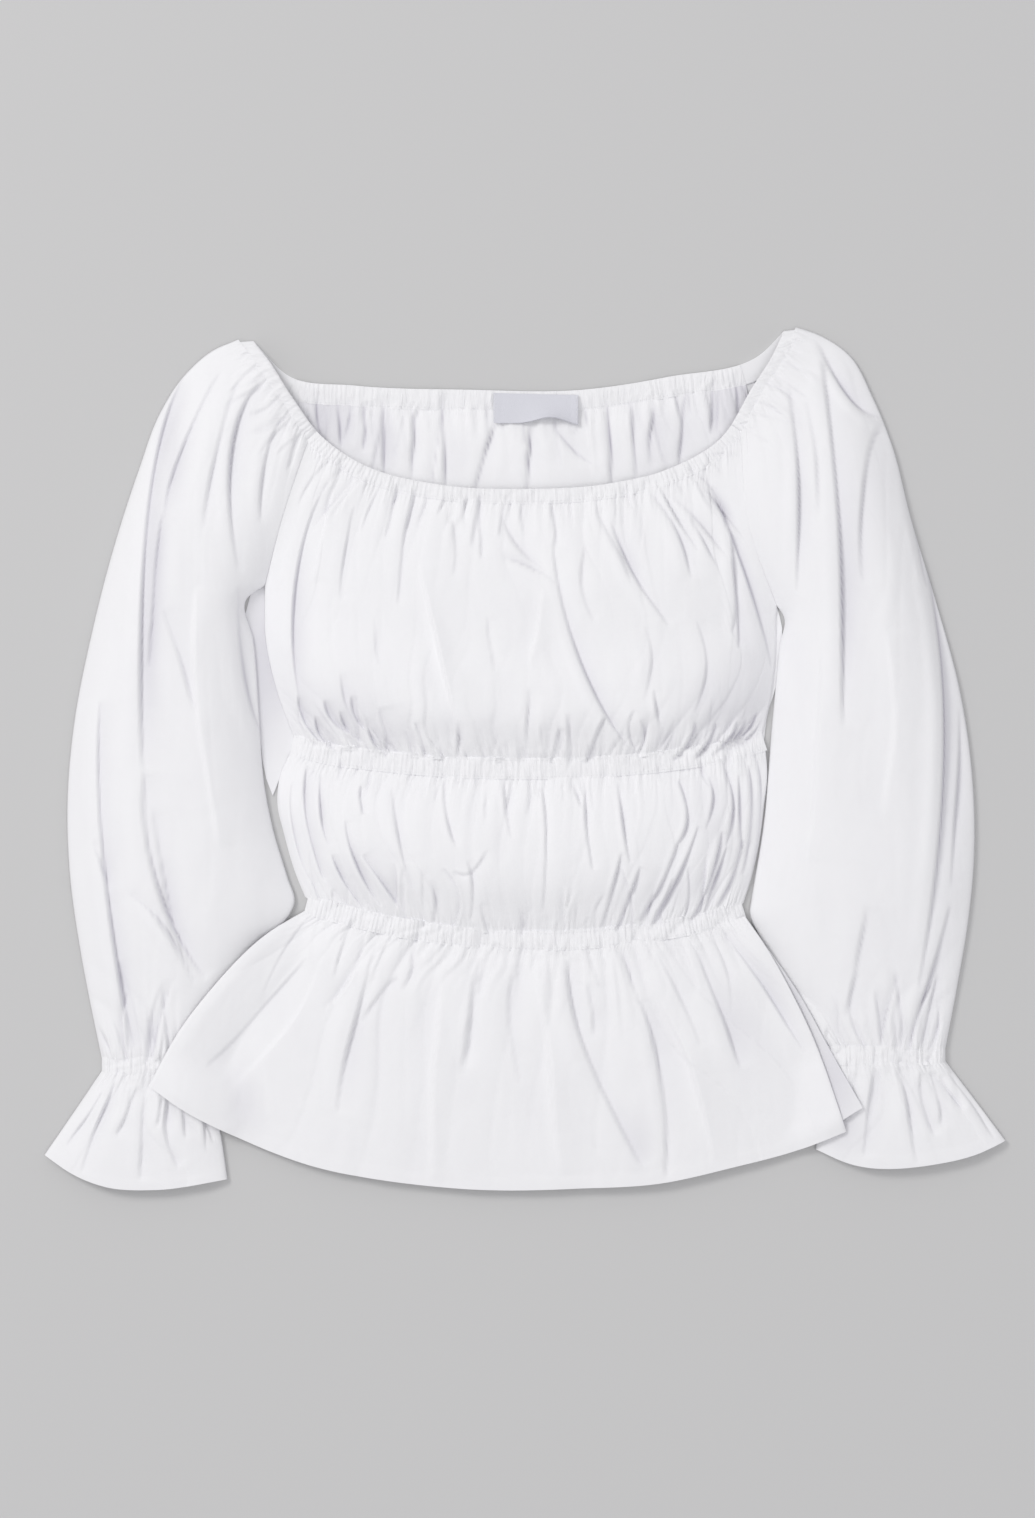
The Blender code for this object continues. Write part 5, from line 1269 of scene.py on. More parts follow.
def wrist_tube(arm, counts, settings=None):
    """The wrist's elastic casing, a short flattened tube."""
    down = spread(counts.down)
    across, lower_across = edge_spread(counts.upper), edge_spread(counts.lower)
    drop = (0.5 - down)[:, None, None] * np.array((0.0, WRIST_CASING + 2 * OVERLAP, 0.0))
    upper, lower = (straight(*arm.wrist, shares)[None] + drop for shares in (across, lower_across))
    extra, shade = np.zeros((2, *upper.shape[:2]))
    if settings:
        position = seam_position(upper[0], across)
        folds = [*sleeve_folds(arm), *flounce_folds(arm)]
        relief, shade = band_relief(position, upper, WRIST_GATHERS, FLOUNCE_GATHERS, folds, settings)
        extra = (CASING_RISE + relief) * fading_at_sides(across)
    tube = folded_tube(upper, lower, across, WRIST_PUFF, down, 0, extra)
    return tube, casing_marks(tube, extra - shade)


def shoulder_tube(arm, counts, settings):
    """The neckline's casing over one sleeve: it folds over at the shoulder's peak, as the sleeve does."""
    across, lower_across = edge_spread(counts.upper), edge_spread(counts.lower)
    down = spread(counts.down)
    layers = []
    for name, shares, width in (
        (arm.name, across, NECK_CASING), ("back_" + arm.name, lower_across, BACK_NECK_CASING)
    ):
        line = elastic_line(name, shares)
        layers.append(between(line, casing_foot(line, width, width + OVERLAP, arm), down))
    upper, lower = layers
    lower[:, -1] = upper[:, -1]
    position = seam_position(upper[0], across)
    relief, shade = band_relief(position, upper, (), SHOULDER_GATHERS, sleeve_folds(arm), settings, True)
    extra = CASING_RISE + relief * (1 - across ** SIDE_FADE)
    tube = folded_tube(upper, lower, across, SHOULDER_PUFF, down, counts.down + 1, extra)
    return tube, casing_marks(tube, extra - shade)


def gather_mask(distance):
    """How strongly the cloth is puckered: fully at a seam, and less with the distance from it."""
    return np.exp(-((distance / PUCKER_REACH) ** PUCKER_POWER))


def marks(tube, relief, gather):
    """The masks that the cloth's material reads: where it is puckered, and how much painted shade it has,
    from how deep in a valley it lies, the painted shade of its creases and its patches of painted shade.

    The lower layer of a tube has none."""
    upper = relief.shape[1]
    masks = {}
    # The valley mask is painted shade: it darkens the colour in valleys and creases and under shaded patches
    for name, values in (("gather", gather), ("valley", np.clip(-relief / VALLEY_DEPTH, 0, VALLEY_MOST))):
        masks[name] = np.zeros(tube.shape[:2])
        masks[name][:, :upper] = values
    return masks


def casing_marks(grid, relief):
    """The masks of a casing, which is puckered all over."""
    return marks(grid, relief, np.full(relief.shape, CASING_GATHER))


def rest_on(plan, lower, room):
    """Height of the underside of a cloth that lies over lower ones.

    It is the highest of the cones that stand a little above their points, or the surface."""
    points = np.concatenate([grid.reshape(-1, 3) for grid in lower])
    points = points[(points[:, 1] < REST_FROM_Y) & (points[:, 2] > LIFTED)]
    away = np.linalg.norm(plan[:, :, None, :2] - points[:, :2], axis=-1)
    return np.maximum((points[:, 2] + room - REST_SLOPE * away).max(axis=-1), 0.0)


def upsampled(values, across, down, wanted_across, wanted_down):
    """A coarse grid of values carried to a fine one, by a cubic in each direction."""
    rows = smooth_values(down, values, wanted_down)
    return smooth_values(across, rows.T, wanted_across).T


def peplum_lifts(across, down, back_across, back_down):
    """How far the peplum's two layers are lifted where they lie over the sleeves and the flounces."""
    lower = []
    for arm in (LEFT, RIGHT):
        for make, counts in (
            (sleeve_tube, ROUGH_SLEEVE), (wrist_tube, ROUGH_WRIST), (flounce_tube, ROUGH_FLOUNCE)
        ):
            tube, _ = make(arm, counts)
            lower.append(tube[:, :counts.upper + 1])
    rough_across, rough_down = spread(ROUGH_PEPLUM.across), spread(ROUGH_PEPLUM.down)
    plan = back_peplum_grid(rough_across, rough_down)
    back_lift = rest_on(plan, lower, BACK_REST_ROOM)
    back = raised(plan, back_lift)
    fine_back = upsampled(back_lift, rough_across, rough_down, back_across, back_down)
    over = [*lower, back_peplum_over(back, rough_across, rough_down)]
    front_plan = peplum_grid(rough_across, rough_down)
    front_lift = np.maximum(rest_on(front_plan, over, FRONT_REST_ROOM) - (SIDE_EDGE - WALL), 0.0)
    fine_front = upsampled(front_lift, rough_across, rough_down, across, down)
    return np.maximum(fine_front, 0.0), np.maximum(fine_back, 0.0)


def back_peplum_over(back, across, down):
    """The back peplum's own surface, close enough that nothing of it is missed by the cones."""
    wanted_across, wanted_down = spread(2 * ROUGH_PEPLUM.across), spread(2 * ROUGH_PEPLUM.down)
    axes = [upsampled(back[..., axis], across, down, wanted_across, wanted_down) for axis in range(3)]
    return np.stack(axes, axis=-1)


def corners_of(values):
    """The values at the four corners of each face of a grid."""
    return np.stack((values[:-1, :-1], values[1:, :-1], values[1:, 1:], values[:-1, 1:]), axis=2)


def surface(name, grid, thickness, masks=None, weld_from=None):
    """An object from a grid of points, with faces outwards, a UV map in metres and a wall from Solidify.

    The UV map has its zero on each row's middle. From the row weld_from down, the first and last columns are
    one, so that the sheet closes to a tube. Its cut edges are sharp, so that they don't darken a seam."""
    rows, columns = grid.shape[:2]
    number = np.arange(rows * columns).reshape(rows, columns)
    if weld_from is not None:
        number[weld_from:, -1] = number[weld_from:, 0]
    used, faces = np.unique(corners_of(number).reshape(-1, 4), return_inverse=True)
    faces = faces.reshape(-1, 4)
    points = ((grid.reshape(-1, 3) - CENTRE) * MM)[used]
    across = distance_from_left(grid)
    across = across - across[:, -1:] / 2
    uv = np.stack((across, -distance_from_top(grid)), axis=-1) * MM
    loops = corners_of(uv).reshape(-1, 4, 2)
    normals = np.cross(points[faces[:, 2]] - points[faces[:, 0]], points[faces[:, 3]] - points[faces[:, 1]])
    if normals[points[faces].mean(axis=1)[:, 2].argmax(), 2] < 0:
        faces, loops = faces[:, ::-1], loops[:, ::-1]
    mesh = bpy.data.meshes.new(name)
    mesh.from_pydata(points, [], faces)
    mesh.uv_layers.new(name=UV_NAME).data.foreach_set("uv", np.ascontiguousarray(loops, np.float32).ravel())
    for mask, values in (masks or {}).items():
        layer = mesh.attributes.new(mask, "FLOAT", "POINT")
        layer.data.foreach_set("value", values.reshape(-1)[used].astype(np.float32))
    mesh.shade_smooth()
    edges = np.empty(len(mesh.loops), np.int32)
    mesh.loops.foreach_get("edge_index", edges)
    mesh.edges.foreach_set("use_edge_sharp", np.bincount(edges, minlength=len(mesh.edges)) == 1)
    made = bpy.data.objects.new(name, mesh)
    bpy.context.scene.collection.objects.link(made)
    wall = made.modifiers.new("Cloth wall", "SOLIDIFY")
    wall.thickness = thickness
    wall.offset = -1.0
    return made


def dressed(piece, material, slot, *nodes):
    """Gives a piece its material and its body, and hides the nodes that it stands for. Its slot is not used.
    """
    piece.data.materials.append(material)
    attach(piece, "root")
    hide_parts(*nodes)


def sewn(name, grid, wall, masks, look, weld_from=None):
    """Makes the cloth that stands for the node of its name."""
    piece = surface("cloth_" + name, grid, wall, masks, weld_from)
    dressed(piece, look, "cotton_poplin", name)


def sewn_casing(name, node, grid, wall, masks, look, weld_from=None):
    piece = surface("casing_" + name, grid, wall, masks, weld_from)
    dressed(piece, look, "elastic_casing", node)


# The front panels: each with the functions that give its plan and its folds, its elastics and the gathers at
# them, how it puffs up, its patches of painted shade, the share of its rows beside the raglan seams, and how
# strongly shade is painted in its folds' creases
FRONT_BODICE = Panel(
    "bodice", BODICE_COUNTS, bodice_grid, bodice_folds, "front", NECK_GATHERS, "bust", BUST_GATHERS,
    BODICE_PUFF, BODICE_PAINTED_SHADE, BODICE_SEAM_SHARE, 1.0,
)
FRONT_MIDRIFF = Panel(
    "midriff", MIDRIFF_COUNTS, midriff_grid, midriff_folds, "bust", UNDER_BUST_GATHERS, "waist",
    OVER_WAIST_GATHERS, MIDRIFF_PUFF, MIDRIFF_PAINTED_SHADE, 0.0, 1.0,
)
FRONT_PEPLUM = Panel(
    "peplum", PEPLUM_COUNTS, peplum_grid, peplum_folds, "waist", WAIST_GATHERS, None, None, PEPLUM_PUFF,
    PEPLUM_PAINTED_SHADE, 0.0, FLARED_CREASE_SHADE,
)


def build_front_panel(panel, settings, look, lift=0.0):
    """A front panel: puffed, gathered at its elastics, with its own folds and its sides turned down.

    Where it has no elastic below, it has a hem. Beside a raglan seam it bridges the seam's valley."""
    across, down = spreads(panel.counts)
    plan = panel.plan(across, down)
    from_top, top_dip = seam_distance(distance_from_top(plan))
    seams = [(seam_position(elastic_line(panel.top, across), across), from_top, panel.above)]
    from_seam, bottom_dip = from_top, -hem_relief(distance_from_bottom(plan))
    if panel.bottom:
        from_bottom, bottom_dip = seam_distance(distance_from_bottom(plan))
        seams.append((seam_position(elastic_line(panel.bottom, across), across), from_bottom, panel.below))
        from_seam = np.minimum(from_top, from_bottom)
    relief, shade = cloth_relief(plan, panel.folds(), seams, settings)
    relief = (relief - top_dip - bottom_dip) * fading_at_sides(across)
    if panel.seam_share:
        width = distance_from_left(plan)
        relief += bridge(np.minimum(width, width[:, -1:] - width), down[:, None] / panel.seam_share)
    shown = between_casings(down, distance_from_top(plan)[-1].mean(), bool(panel.bottom))
    grid = kept_above(raised(plan, puff(panel.puff, across, shown) + relief), SIDE_EDGE)
    grid = closed_sides(raised(grid, lift), panel.seam_share)
    # Painted shade: the creases' shade, and patches of painted shade where shade falls on the panel
    shade = panel.creases * shade + painted_shade_patches(plan, panel.hollows)
    masks = marks(grid, relief - shade, gather_mask(from_seam))
    sewn("front_" + panel.name, grid, settings.cloth_wall, masks, look)


def build_back_bodice(settings, look):
    """The back panel, flat on the surface, with the soft folds that show in the neck opening."""
    across = edge_spread(BACK_BODICE_COUNTS.across)
    down = seam_spread(BACK_BODICE_COUNTS.down, BACK_SEAM_SHARE)
    plan = back_bodice_grid(across, down)
    from_top = distance_from_top(plan)
    lift = BACK_LIFT * np.tanh(from_top / BACK_LIFT_START) * np.exp(-((from_top / BACK_LIFT_END) ** 4))
    lift = lift * (1 - BACK_SIDE_DIP * np.abs(2 * across - 1) ** 3)
    seams = ((seam_position(elastic_line("back", across), across), from_top, BACK_NECK_GATHERS),)
    relief, shade = cloth_relief(plan, back_neck_folds(), seams, settings)
    relief = (np.maximum(relief + lift, 0.0) - lift) * fading_at_sides(across)
    grid = raised(plan, np.maximum(relief + lift, 0.0))
    # Painted shade: darker creases, and patches of painted shade where the front's neckline and shoulders
    # shade the back
    shade = BACK_CREASE_SHADE * shade + painted_shade_patches(plan, BACK_PAINTED_SHADE)
    sewn("back_bodice", grid, WALL * MM, marks(grid, relief - shade, gather_mask(from_top)), look)


def build_back_midriff(look):
    """The back panel between the two elastics, flat on the surface."""
    across, down = spreads(BACK_MIDRIFF_COUNTS)
    sewn("back_midriff", flat(midriff_grid(across, down), WALL), WALL * MM, None, look)


def build_peplum(settings, look):
    """The flared panels below the waist, with turned hems, whose corners lie over the sleeves' ends."""
    across, down = spreads(PEPLUM_COUNTS)
    back_across, back_down = spreads(BACK_PEPLUM_COUNTS)
    lift, back_lift = peplum_lifts(across, down, back_across, back_down)
    plan = back_peplum_grid(back_across, back_down)
    grid = raised(plan, back_lift + hem_relief(distance_from_bottom(plan)))
    # Patches of painted shade on the back peplum, where the front peplum shades it
    shade = painted_shade_patches(plan, BACK_PEPLUM_PAINTED_SHADE)
    masks = marks(grid, -shade, np.zeros(shade.shape))
    sewn("back_peplum", grid, WALL * MM, masks, look)
    build_front_panel(FRONT_PEPLUM, settings, look, lift)


def build_sleeve(arm, settings, look):
    """One raglan balloon sleeve, a flattened tube from neckline to wrist, open at its raglan seam."""
    grid, masks = sleeve_tube(arm, SLEEVE_COUNTS, settings)
    name, weld_from = arm.name + "_sleeve", SLEEVE_COUNTS.down[0]
    sewn(name, grid, settings.cloth_wall, masks, look, weld_from=weld_from)


def build_wrist(arm, settings, cotton, casing):
    """A wrist's elastic casing and the flounce below it."""
    grid, masks = wrist_tube(arm, WRIST_COUNTS, settings)
    name = arm.name + "_wrist"
    sewn_casing(name, name + "_casing", grid, settings.casing_wall, masks, casing, 0)
    grid, masks = flounce_tube(arm, FLOUNCE_COUNTS, settings)
    sewn(arm.name + "_flounce", grid, settings.cloth_wall, masks, cotton, weld_from=0)


def front_band(name, line, before, after, above, below, folds, settings, look):
    """A casing over the front's puff, between two lines beside its own."""
    across, down = spreads(FRONT_BAND_COUNTS)
    line = elastic_line(line, across)
    grid = between(beside(line, before), beside(line, after), down)
    relief, shade = band_relief(seam_position(line, across), grid, above, below, folds, settings, not above)
    grid = raised(grid, CASING_RISE + relief * fading_at_sides(across))
    masks = casing_marks(grid, relief - shade)
    node, length = name.replace("_", "_casing_"), run_of(line)[-1]
    sewn_casing(name, node, grid, settings.casing_wall, masks, look)
    return grid


def back_band(name, line, before, after, top, foot, gathers, settings, look):
    """A casing of the back, flat on the surface but for its gathers, and lower at its foot."""
    counts = BACK_NECK_BAND_COUNTS if gathers else BACK_BAND_COUNTS
    across, down = spreads(counts)
    line = flat(elastic_line(line, across), top)
    grid = between(beside(line, before), beside(line, after), down)
    position, folds = seam_position(line, across), back_neck_folds() if gathers else ()
    relief, shade = band_relief(position, grid, (), gathers, folds, settings, bool(gathers))
    relief = np.maximum(relief, -BACK_BAND_LEAST) * fading_at_sides(across)
    grid = raised(grid, relief - (top - foot) * (down ** 2)[:, None])
    masks = casing_marks(grid, relief - shade)
    node, wall = name.replace("_", "_casing_"), (foot - BACK_BAND_LEAST) * MM
    sewn_casing(name, node, grid, wall, masks, look)
    return grid


def build_casings(settings, look):
    """All the casings of the body. Returns the grids that the stitching follows."""
    half_bust, half_waist = BUST_CASING / 2, WAIST_CASING / 2
    grids = {
        "neck_front": front_band(
            "neck_front", "front", 0, NECK_CASING + OVERLAP, (), NECK_GATHERS, bodice_folds(), settings, look
        ),
        "bust_front": front_band(
            "bust_front", "bust", -half_bust - OVERLAP, half_bust + OVERLAP, BUST_GATHERS,
            UNDER_BUST_GATHERS, [*bodice_folds(), *midriff_folds()], settings, look,
        ),
        "waist_front": front_band(
            "waist_front", "waist", -half_waist - OVERLAP, half_waist + OVERLAP, OVER_WAIST_GATHERS,
            WAIST_GATHERS, [*midriff_folds(), *peplum_folds()], settings, look,
        ),
        "neck_back": back_band(
            "neck_back", "back", 0, BACK_NECK_CASING + OVERLAP, BACK_CASING_TOP, BACK_CASING_FOOT,
            BACK_NECK_GATHERS, settings, look,
        ),
    }
    for line, half in (("bust", half_bust), ("waist", half_waist)):
        back_band(line + "_back", line, -half, half, LOWER_CASING_TOP, LOWER_CASING_TOP, (), settings, look)
    for arm in (LEFT, RIGHT):
        grid, masks = shoulder_tube(arm, SHOULDER_COUNTS, settings)
        name, node = "neck_" + arm.name, "neck_casing_" + arm.name
        sewn_casing(name, node, grid, settings.casing_wall, masks, look)
        grids[name] = grid
    return grids


def build_label(settings, look):
    """The blank woven label, sewn at both ends, whose lower edge buckles up towards its right.

    The buckle is a bell across the label that grows with the square of the way down it, and draws the lower
    edge up as it lifts it. Both ends are turned under."""
    across, down = edge_spread(LABEL_COUNTS.across), spread(LABEL_COUNTS.down)[:, None]
    grid = np.zeros((len(down), len(across), 3))
    grid[:, :, 0] = LABEL_LEFT + LABEL_WIDTH * across
    grid[:, :, 1] = LABEL_TOP + LABEL_TILT * across - LABEL_HEIGHT * down
    ends = np.minimum(across, 1 - across) * LABEL_WIDTH
    fold = LABEL_FOLD * np.exp(-((ends / LABEL_FOLD_WIDTH) ** 4))
    ripple = LABEL_RIPPLE * np.sin(LABEL_RIPPLES * np.pi * across) * down
    bell = np.exp(-(((across - BUCKLE_AT) / BUCKLE_WIDTH) ** 2))
    buckle = bell * np.sin(np.pi * across) ** 0.5 * down ** 2
    grid[:, :, 1] += BUCKLE_DRAW * buckle
    grid[:, :, 2] = LABEL_BASE + LABEL_RISE * down + settings.label_wave / MM * buckle + fold + ripple
    piece = surface("label_neck", grid, LABEL_WALL * MM)
    dressed(piece, look, "woven_label", "neck_label")
    return grid


def label_seams(grid):
    """The label's two lines of stitching, a little inside its ends."""
    return [raised(grid, LABEL_SEAM_PROUD)[:, column] for column in LABEL_SEAM_COLUMNS]


def casing_seams(grids):
    """The lines of stitching: along each edge of each casing that is sewn down, a little inside it."""
    lines = []
    for name, grid in grids.items():
        if name in ("neck_left", "neck_right"):
            grid = grid[:, :SHOULDER_COUNTS.upper + 1]
        distance = distance_from_top(grid)
        ends = ("bottom",) if name.startswith("neck") else ("top", "bottom")
        for end in ends:
            inset = STITCH_INSET if end == "top" else distance[-1].mean() - STITCH_INSET
            row = np.interp(inset, distance.mean(axis=1), np.arange(len(grid)))
            low = int(row)
            line = (1 - (row - low)) * grid[low] + (row - low) * grid[low + 1]
            line = line[STITCH_MARGIN:-STITCH_MARGIN]
            line[:, 2] += STITCH_PROUD
            lines.append(line)
    return lines


def stitch_mesh(name, lines, settings, look):
    """Short bars of thread along lines, as one mesh.

    Each bar is a square profile carried along its stretch of the line, thinner at both ends."""
    centres, headings = [], []
    for line in lines:
        run = run_of(line)
        count = int(run[-1] / STITCH_PITCH)
        first = (np.arange(count) + 0.5) * run[-1] / count
        share = np.linspace(-0.5, 0.5, len(STITCH_WIDTHS))
        points = points_at(first[:, None] + share * STITCH_LENGTH, run, line)
        heading = points[:, -1:] - points[:, :1]
        heading = heading / np.linalg.norm(heading, axis=-1, keepdims=True)
        centres.append(points)
        headings.append(np.broadcast_to(heading, points.shape))
    centres, headings = np.concatenate(centres), np.concatenate(headings)
    side = np.stack((headings[..., 1], -headings[..., 0], np.zeros(headings.shape[:2])), axis=-1)
    side /= np.linalg.norm(side, axis=-1, keepdims=True)
    rise = np.cross(side, headings)
    rise *= np.sign(rise[..., 2:])
    turn = ((np.arange(STITCH_SIDES) + 0.5) * 2 * np.pi / STITCH_SIDES)[:, None]
    radius = settings.thread / MM / 2
    offset = np.cos(turn) * side[:, :, None] + np.sin(turn) * rise[:, :, None]
    widths, heights = (np.array(row)[:, None, None] for row in (STITCH_WIDTHS, STITCH_HEIGHTS))
    points = centres[:, :, None] + radius * widths * offset + radius * heights * np.array((0.0, 0.0, 1.0))
    number = np.arange(points.size // 3).reshape(points.shape[:3])
    after = np.roll(number, -1, axis=2)
    walls = np.stack((number[:, :-1], after[:, :-1], after[:, 1:], number[:, 1:]), axis=-1).reshape(-1, 4)
    caps = np.concatenate((number[:, 0, ::-1], number[:, -1]))
    mesh = bpy.data.meshes.new(name)
    mesh.from_pydata((points.reshape(-1, 3) - CENTRE) * MM, [], np.concatenate((walls, caps)))
    mesh.shade_smooth()
    mesh.materials.append(look)
    made = bpy.data.objects.new(name, mesh)
    bpy.context.scene.collection.objects.link(made)
    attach(made, "root")


class Tree:
    """A node tree with short ways to add its nodes and links."""

    def __init__(self, tree):
        self.tree = tree

    def node(self, kind, **values):
        """A new node of a kind, with its properties and the sockets of those names set."""
        made = self.tree.nodes.new(kind)
        for name, value in values.items():
            if hasattr(made, name):
                setattr(made, name, value)
            else:
                made.inputs[name.replace("_", " ")].default_value = value
        return made

    def link(self, start, end):
        """Joins an output to an input."""
        self.tree.links.new(start, end)

    def maths(self, operation, first, second=None, clamp=False):
        """The output of a Math node on sockets or numbers."""
        made = self.tree.nodes.new("ShaderNodeMath")
        made.operation = operation
        made.use_clamp = clamp
        for socket, value in zip(made.inputs, (first, second)):
            if value is None:
                continue
            if isinstance(value, (int, float)):
                socket.default_value = value
            else:
                self.link(value, socket)
        return made.outputs[0]


def new_group(name, inputs, outputs):
    """An empty shader node group with named sockets. Returns its tree and its two end nodes."""
    group = bpy.data.node_groups.new(name, "ShaderNodeTree")
    for label, kind, value in inputs:
        socket = group.interface.new_socket(label, in_out="INPUT", socket_type=kind)
        socket.default_value = value
    for label, kind in outputs:
        group.interface.new_socket(label, in_out="OUTPUT", socket_type=kind)
    return Tree(group), group.nodes.new("NodeGroupInput"), group.nodes.new("NodeGroupOutput")


def weave_group():
    """Plain weave: threads over and under as the product of two sines of the UV map, roughened by slubs.

    A slub is noise stretched along one set of threads, so that some threads are thicker than others."""
    tree, start, end = new_group(
        "Plain weave", [("Pitch", "NodeSocketFloat", 0.0004), ("Slubs", "NodeSocketFloat", 0.5)],
        [("Height", "NodeSocketFloat")],
    )
    uv = tree.node("ShaderNodeUVMap", uv_map=UV_NAME)
    parts = tree.node("ShaderNodeSeparateXYZ")
    tree.link(uv.outputs[0], parts.inputs[0])
    turns = tree.maths("DIVIDE", 2 * np.pi, start.outputs["Pitch"])
    warp = tree.maths("SINE", tree.maths("MULTIPLY", parts.outputs[0], turns))
    weft = tree.maths("SINE", tree.maths("MULTIPLY", parts.outputs[1], turns))
    height = tree.maths("MULTIPLY", warp, weft)
    for stretch in SLUB_STRETCHES:
        mapping = tree.node("ShaderNodeMapping", Scale=stretch)
        noise = tree.node("ShaderNodeTexNoise", Scale=1.0, Detail=1.0)
        tree.link(uv.outputs[0], mapping.inputs[0])
        tree.link(mapping.outputs[0], noise.inputs[0])
        slub = tree.maths("MULTIPLY", tree.maths("SUBTRACT", noise.outputs[0], 0.5), start.outputs["Slubs"])
        height = tree.maths("ADD", height, slub)
    tree.link(height, end.inputs["Height"])
    return tree.tree


def pucker_group():
    """Fine puckers near the elastics: noise stretched down the cloth, where the cloth's mask says so."""
    tree, start, end = new_group(
        "Puckers", [("Across", "NodeSocketFloat", 420.0), ("Down", "NodeSocketFloat", 60.0)],
        [("Height", "NodeSocketFloat")],
    )
    uv = tree.node("ShaderNodeUVMap", uv_map=UV_NAME)
    scale = tree.node("ShaderNodeCombineXYZ")
    tree.link(start.outputs["Across"], scale.inputs[0])
    tree.link(start.outputs["Down"], scale.inputs[1])
    stretched = tree.node("ShaderNodeVectorMath", operation="MULTIPLY")
    tree.link(uv.outputs[0], stretched.inputs[0])
    tree.link(scale.outputs[0], stretched.inputs[1])
    noise = tree.node("ShaderNodeTexNoise", Scale=1.0, Detail=2.0, Roughness=0.55, Distortion=0.3)
    tree.link(stretched.outputs[0], noise.inputs[0])
    mask = tree.node("ShaderNodeAttribute", attribute_name="gather")
    pinched = tree.maths("ABSOLUTE", tree.maths("SUBTRACT", noise.outputs[0], 0.5))
    tree.link(tree.maths("MULTIPLY", pinched, mask.outputs["Fac"]), end.inputs["Height"])
    return tree.tree


def crumple_group():
    """Soft small creases all over: two sizes of noise in the object's own coordinates."""
    tree, start, end = new_group(
        "Crumple", [("Scale", "NodeSocketFloat", 60.0)], [("Height", "NodeSocketFloat")]
    )
    place = tree.node("ShaderNodeTexCoord")
    height = 0.0
    for times, share in CRUMPLE_SIZES:
        noise = tree.node("ShaderNodeTexNoise", Detail=1.0, Roughness=0.5, Distortion=0.6)
        tree.link(place.outputs["Object"], noise.inputs["Vector"])
        tree.link(tree.maths("MULTIPLY", start.outputs["Scale"], times), noise.inputs["Scale"])
        height = tree.maths("ADD", height, tree.maths("MULTIPLY", noise.outputs[0], share))
    tree.link(height, end.inputs["Height"])
    return tree.tree


def shade_group():
    """The cloth's colour with painted shade: darker in its valleys, creases and shaded patches, and a faint
    mottle over it all.
    """
    tree, start, end = new_group(
        "Cloth colour and painted shade",
        [
            ("Cloth", "NodeSocketColor", (0.9, 0.9, 0.92, 1.0)),
            ("Shade", "NodeSocketColor", (0.7, 0.7, 0.8, 1.0)),
            ("Painted shade in valleys", "NodeSocketFloat", 0.5), ("Mottle", "NodeSocketFloat", 0.035),
        ],
        [("Color", "NodeSocketColor")],
    )
    place = tree.node("ShaderNodeTexCoord")
    noise = tree.node("ShaderNodeTexNoise", Scale=45.0, Detail=3.0, Roughness=0.6)
    tree.link(place.outputs["Object"], noise.inputs["Vector"])
    # The valley mask, which paints shade into the colour
    mask = tree.node("ShaderNodeAttribute", attribute_name="valley")
    valleys = tree.maths("MULTIPLY", mask.outputs["Fac"], start.outputs["Painted shade in valleys"])
    mottle = tree.maths("MULTIPLY", noise.outputs[0], start.outputs["Mottle"])
    share = tree.maths("ADD", valleys, mottle, clamp=True)
    mix = tree.node("ShaderNodeMix", data_type="RGBA")
    tree.link(share, mix.inputs[MIX_FACTOR])
    tree.link(start.outputs["Cloth"], mix.inputs[MIX_FIRST])
    tree.link(start.outputs["Shade"], mix.inputs[MIX_SECOND])
    tree.link(mix.outputs[MIX_RESULT], end.inputs["Color"])
    return tree.tree


def cloth_material(name, colour, shade, look):
    """A woven cloth's material: its colour and painted shade from the shade group, its bump from the other
    three.
    """
    made = bpy.data.materials.new(name)
    made.use_nodes = True
    tree = Tree(made.node_tree)
    shader = made.node_tree.nodes["Principled BSDF"]
    shader.inputs["Roughness"].default_value = look.rough
    shader.inputs["Sheen Weight"].default_value = look.sheen
    shader.inputs["Sheen Roughness"].default_value = SHEEN_ROUGHNESS
    shader.inputs["Specular IOR Level"].default_value = SPECULAR
    colours = group_node(tree, "Cloth colour and painted shade")
    colours.inputs["Cloth"].default_value = (*colour, 1.0)
    colours.inputs["Shade"].default_value = (*shade, 1.0)
    # How strongly the painted shade darkens the colour
    colours.inputs["Painted shade in valleys"].default_value = PAINTED_VALLEY_SHADE
    tree.link(colours.outputs["Color"], shader.inputs["Base Color"])
    threads = group_node(tree, "Plain weave")
    threads.inputs["Pitch"].default_value = look.pitch
    height = tree.maths("MULTIPLY", threads.outputs["Height"], look.weave)
    for group, share in (("Puckers", look.puckers), ("Crumple", look.crumple)):
        added = tree.maths("MULTIPLY", group_node(tree, group).outputs["Height"], share)
        height = tree.maths("ADD", height, added)
    bump = tree.node("ShaderNodeBump", Strength=1.0, Distance=MM)
    tree.link(height, bump.inputs["Height"])
    tree.link(bump.outputs["Normal"], shader.inputs["Normal"])


def group_node(tree, name):
    """A node that holds the named group."""
    made = tree.tree.nodes.new("ShaderNodeGroup")
    made.node_tree = bpy.data.node_groups[name]
    return made


def materials(settings):
    """The blouse's materials by name, made once."""
    if "Cotton poplin" not in bpy.data.materials:
        for make_group in (weave_group, pucker_group, crumple_group, shade_group):
            make_group()
        for name, look in LOOKS.items():
            colour = settings.label_colour if name == "Woven label" else settings.cotton_colour
            cloth_material(name, tuple(colour), tuple(settings.shade_colour), look)
    return bpy.data.materials


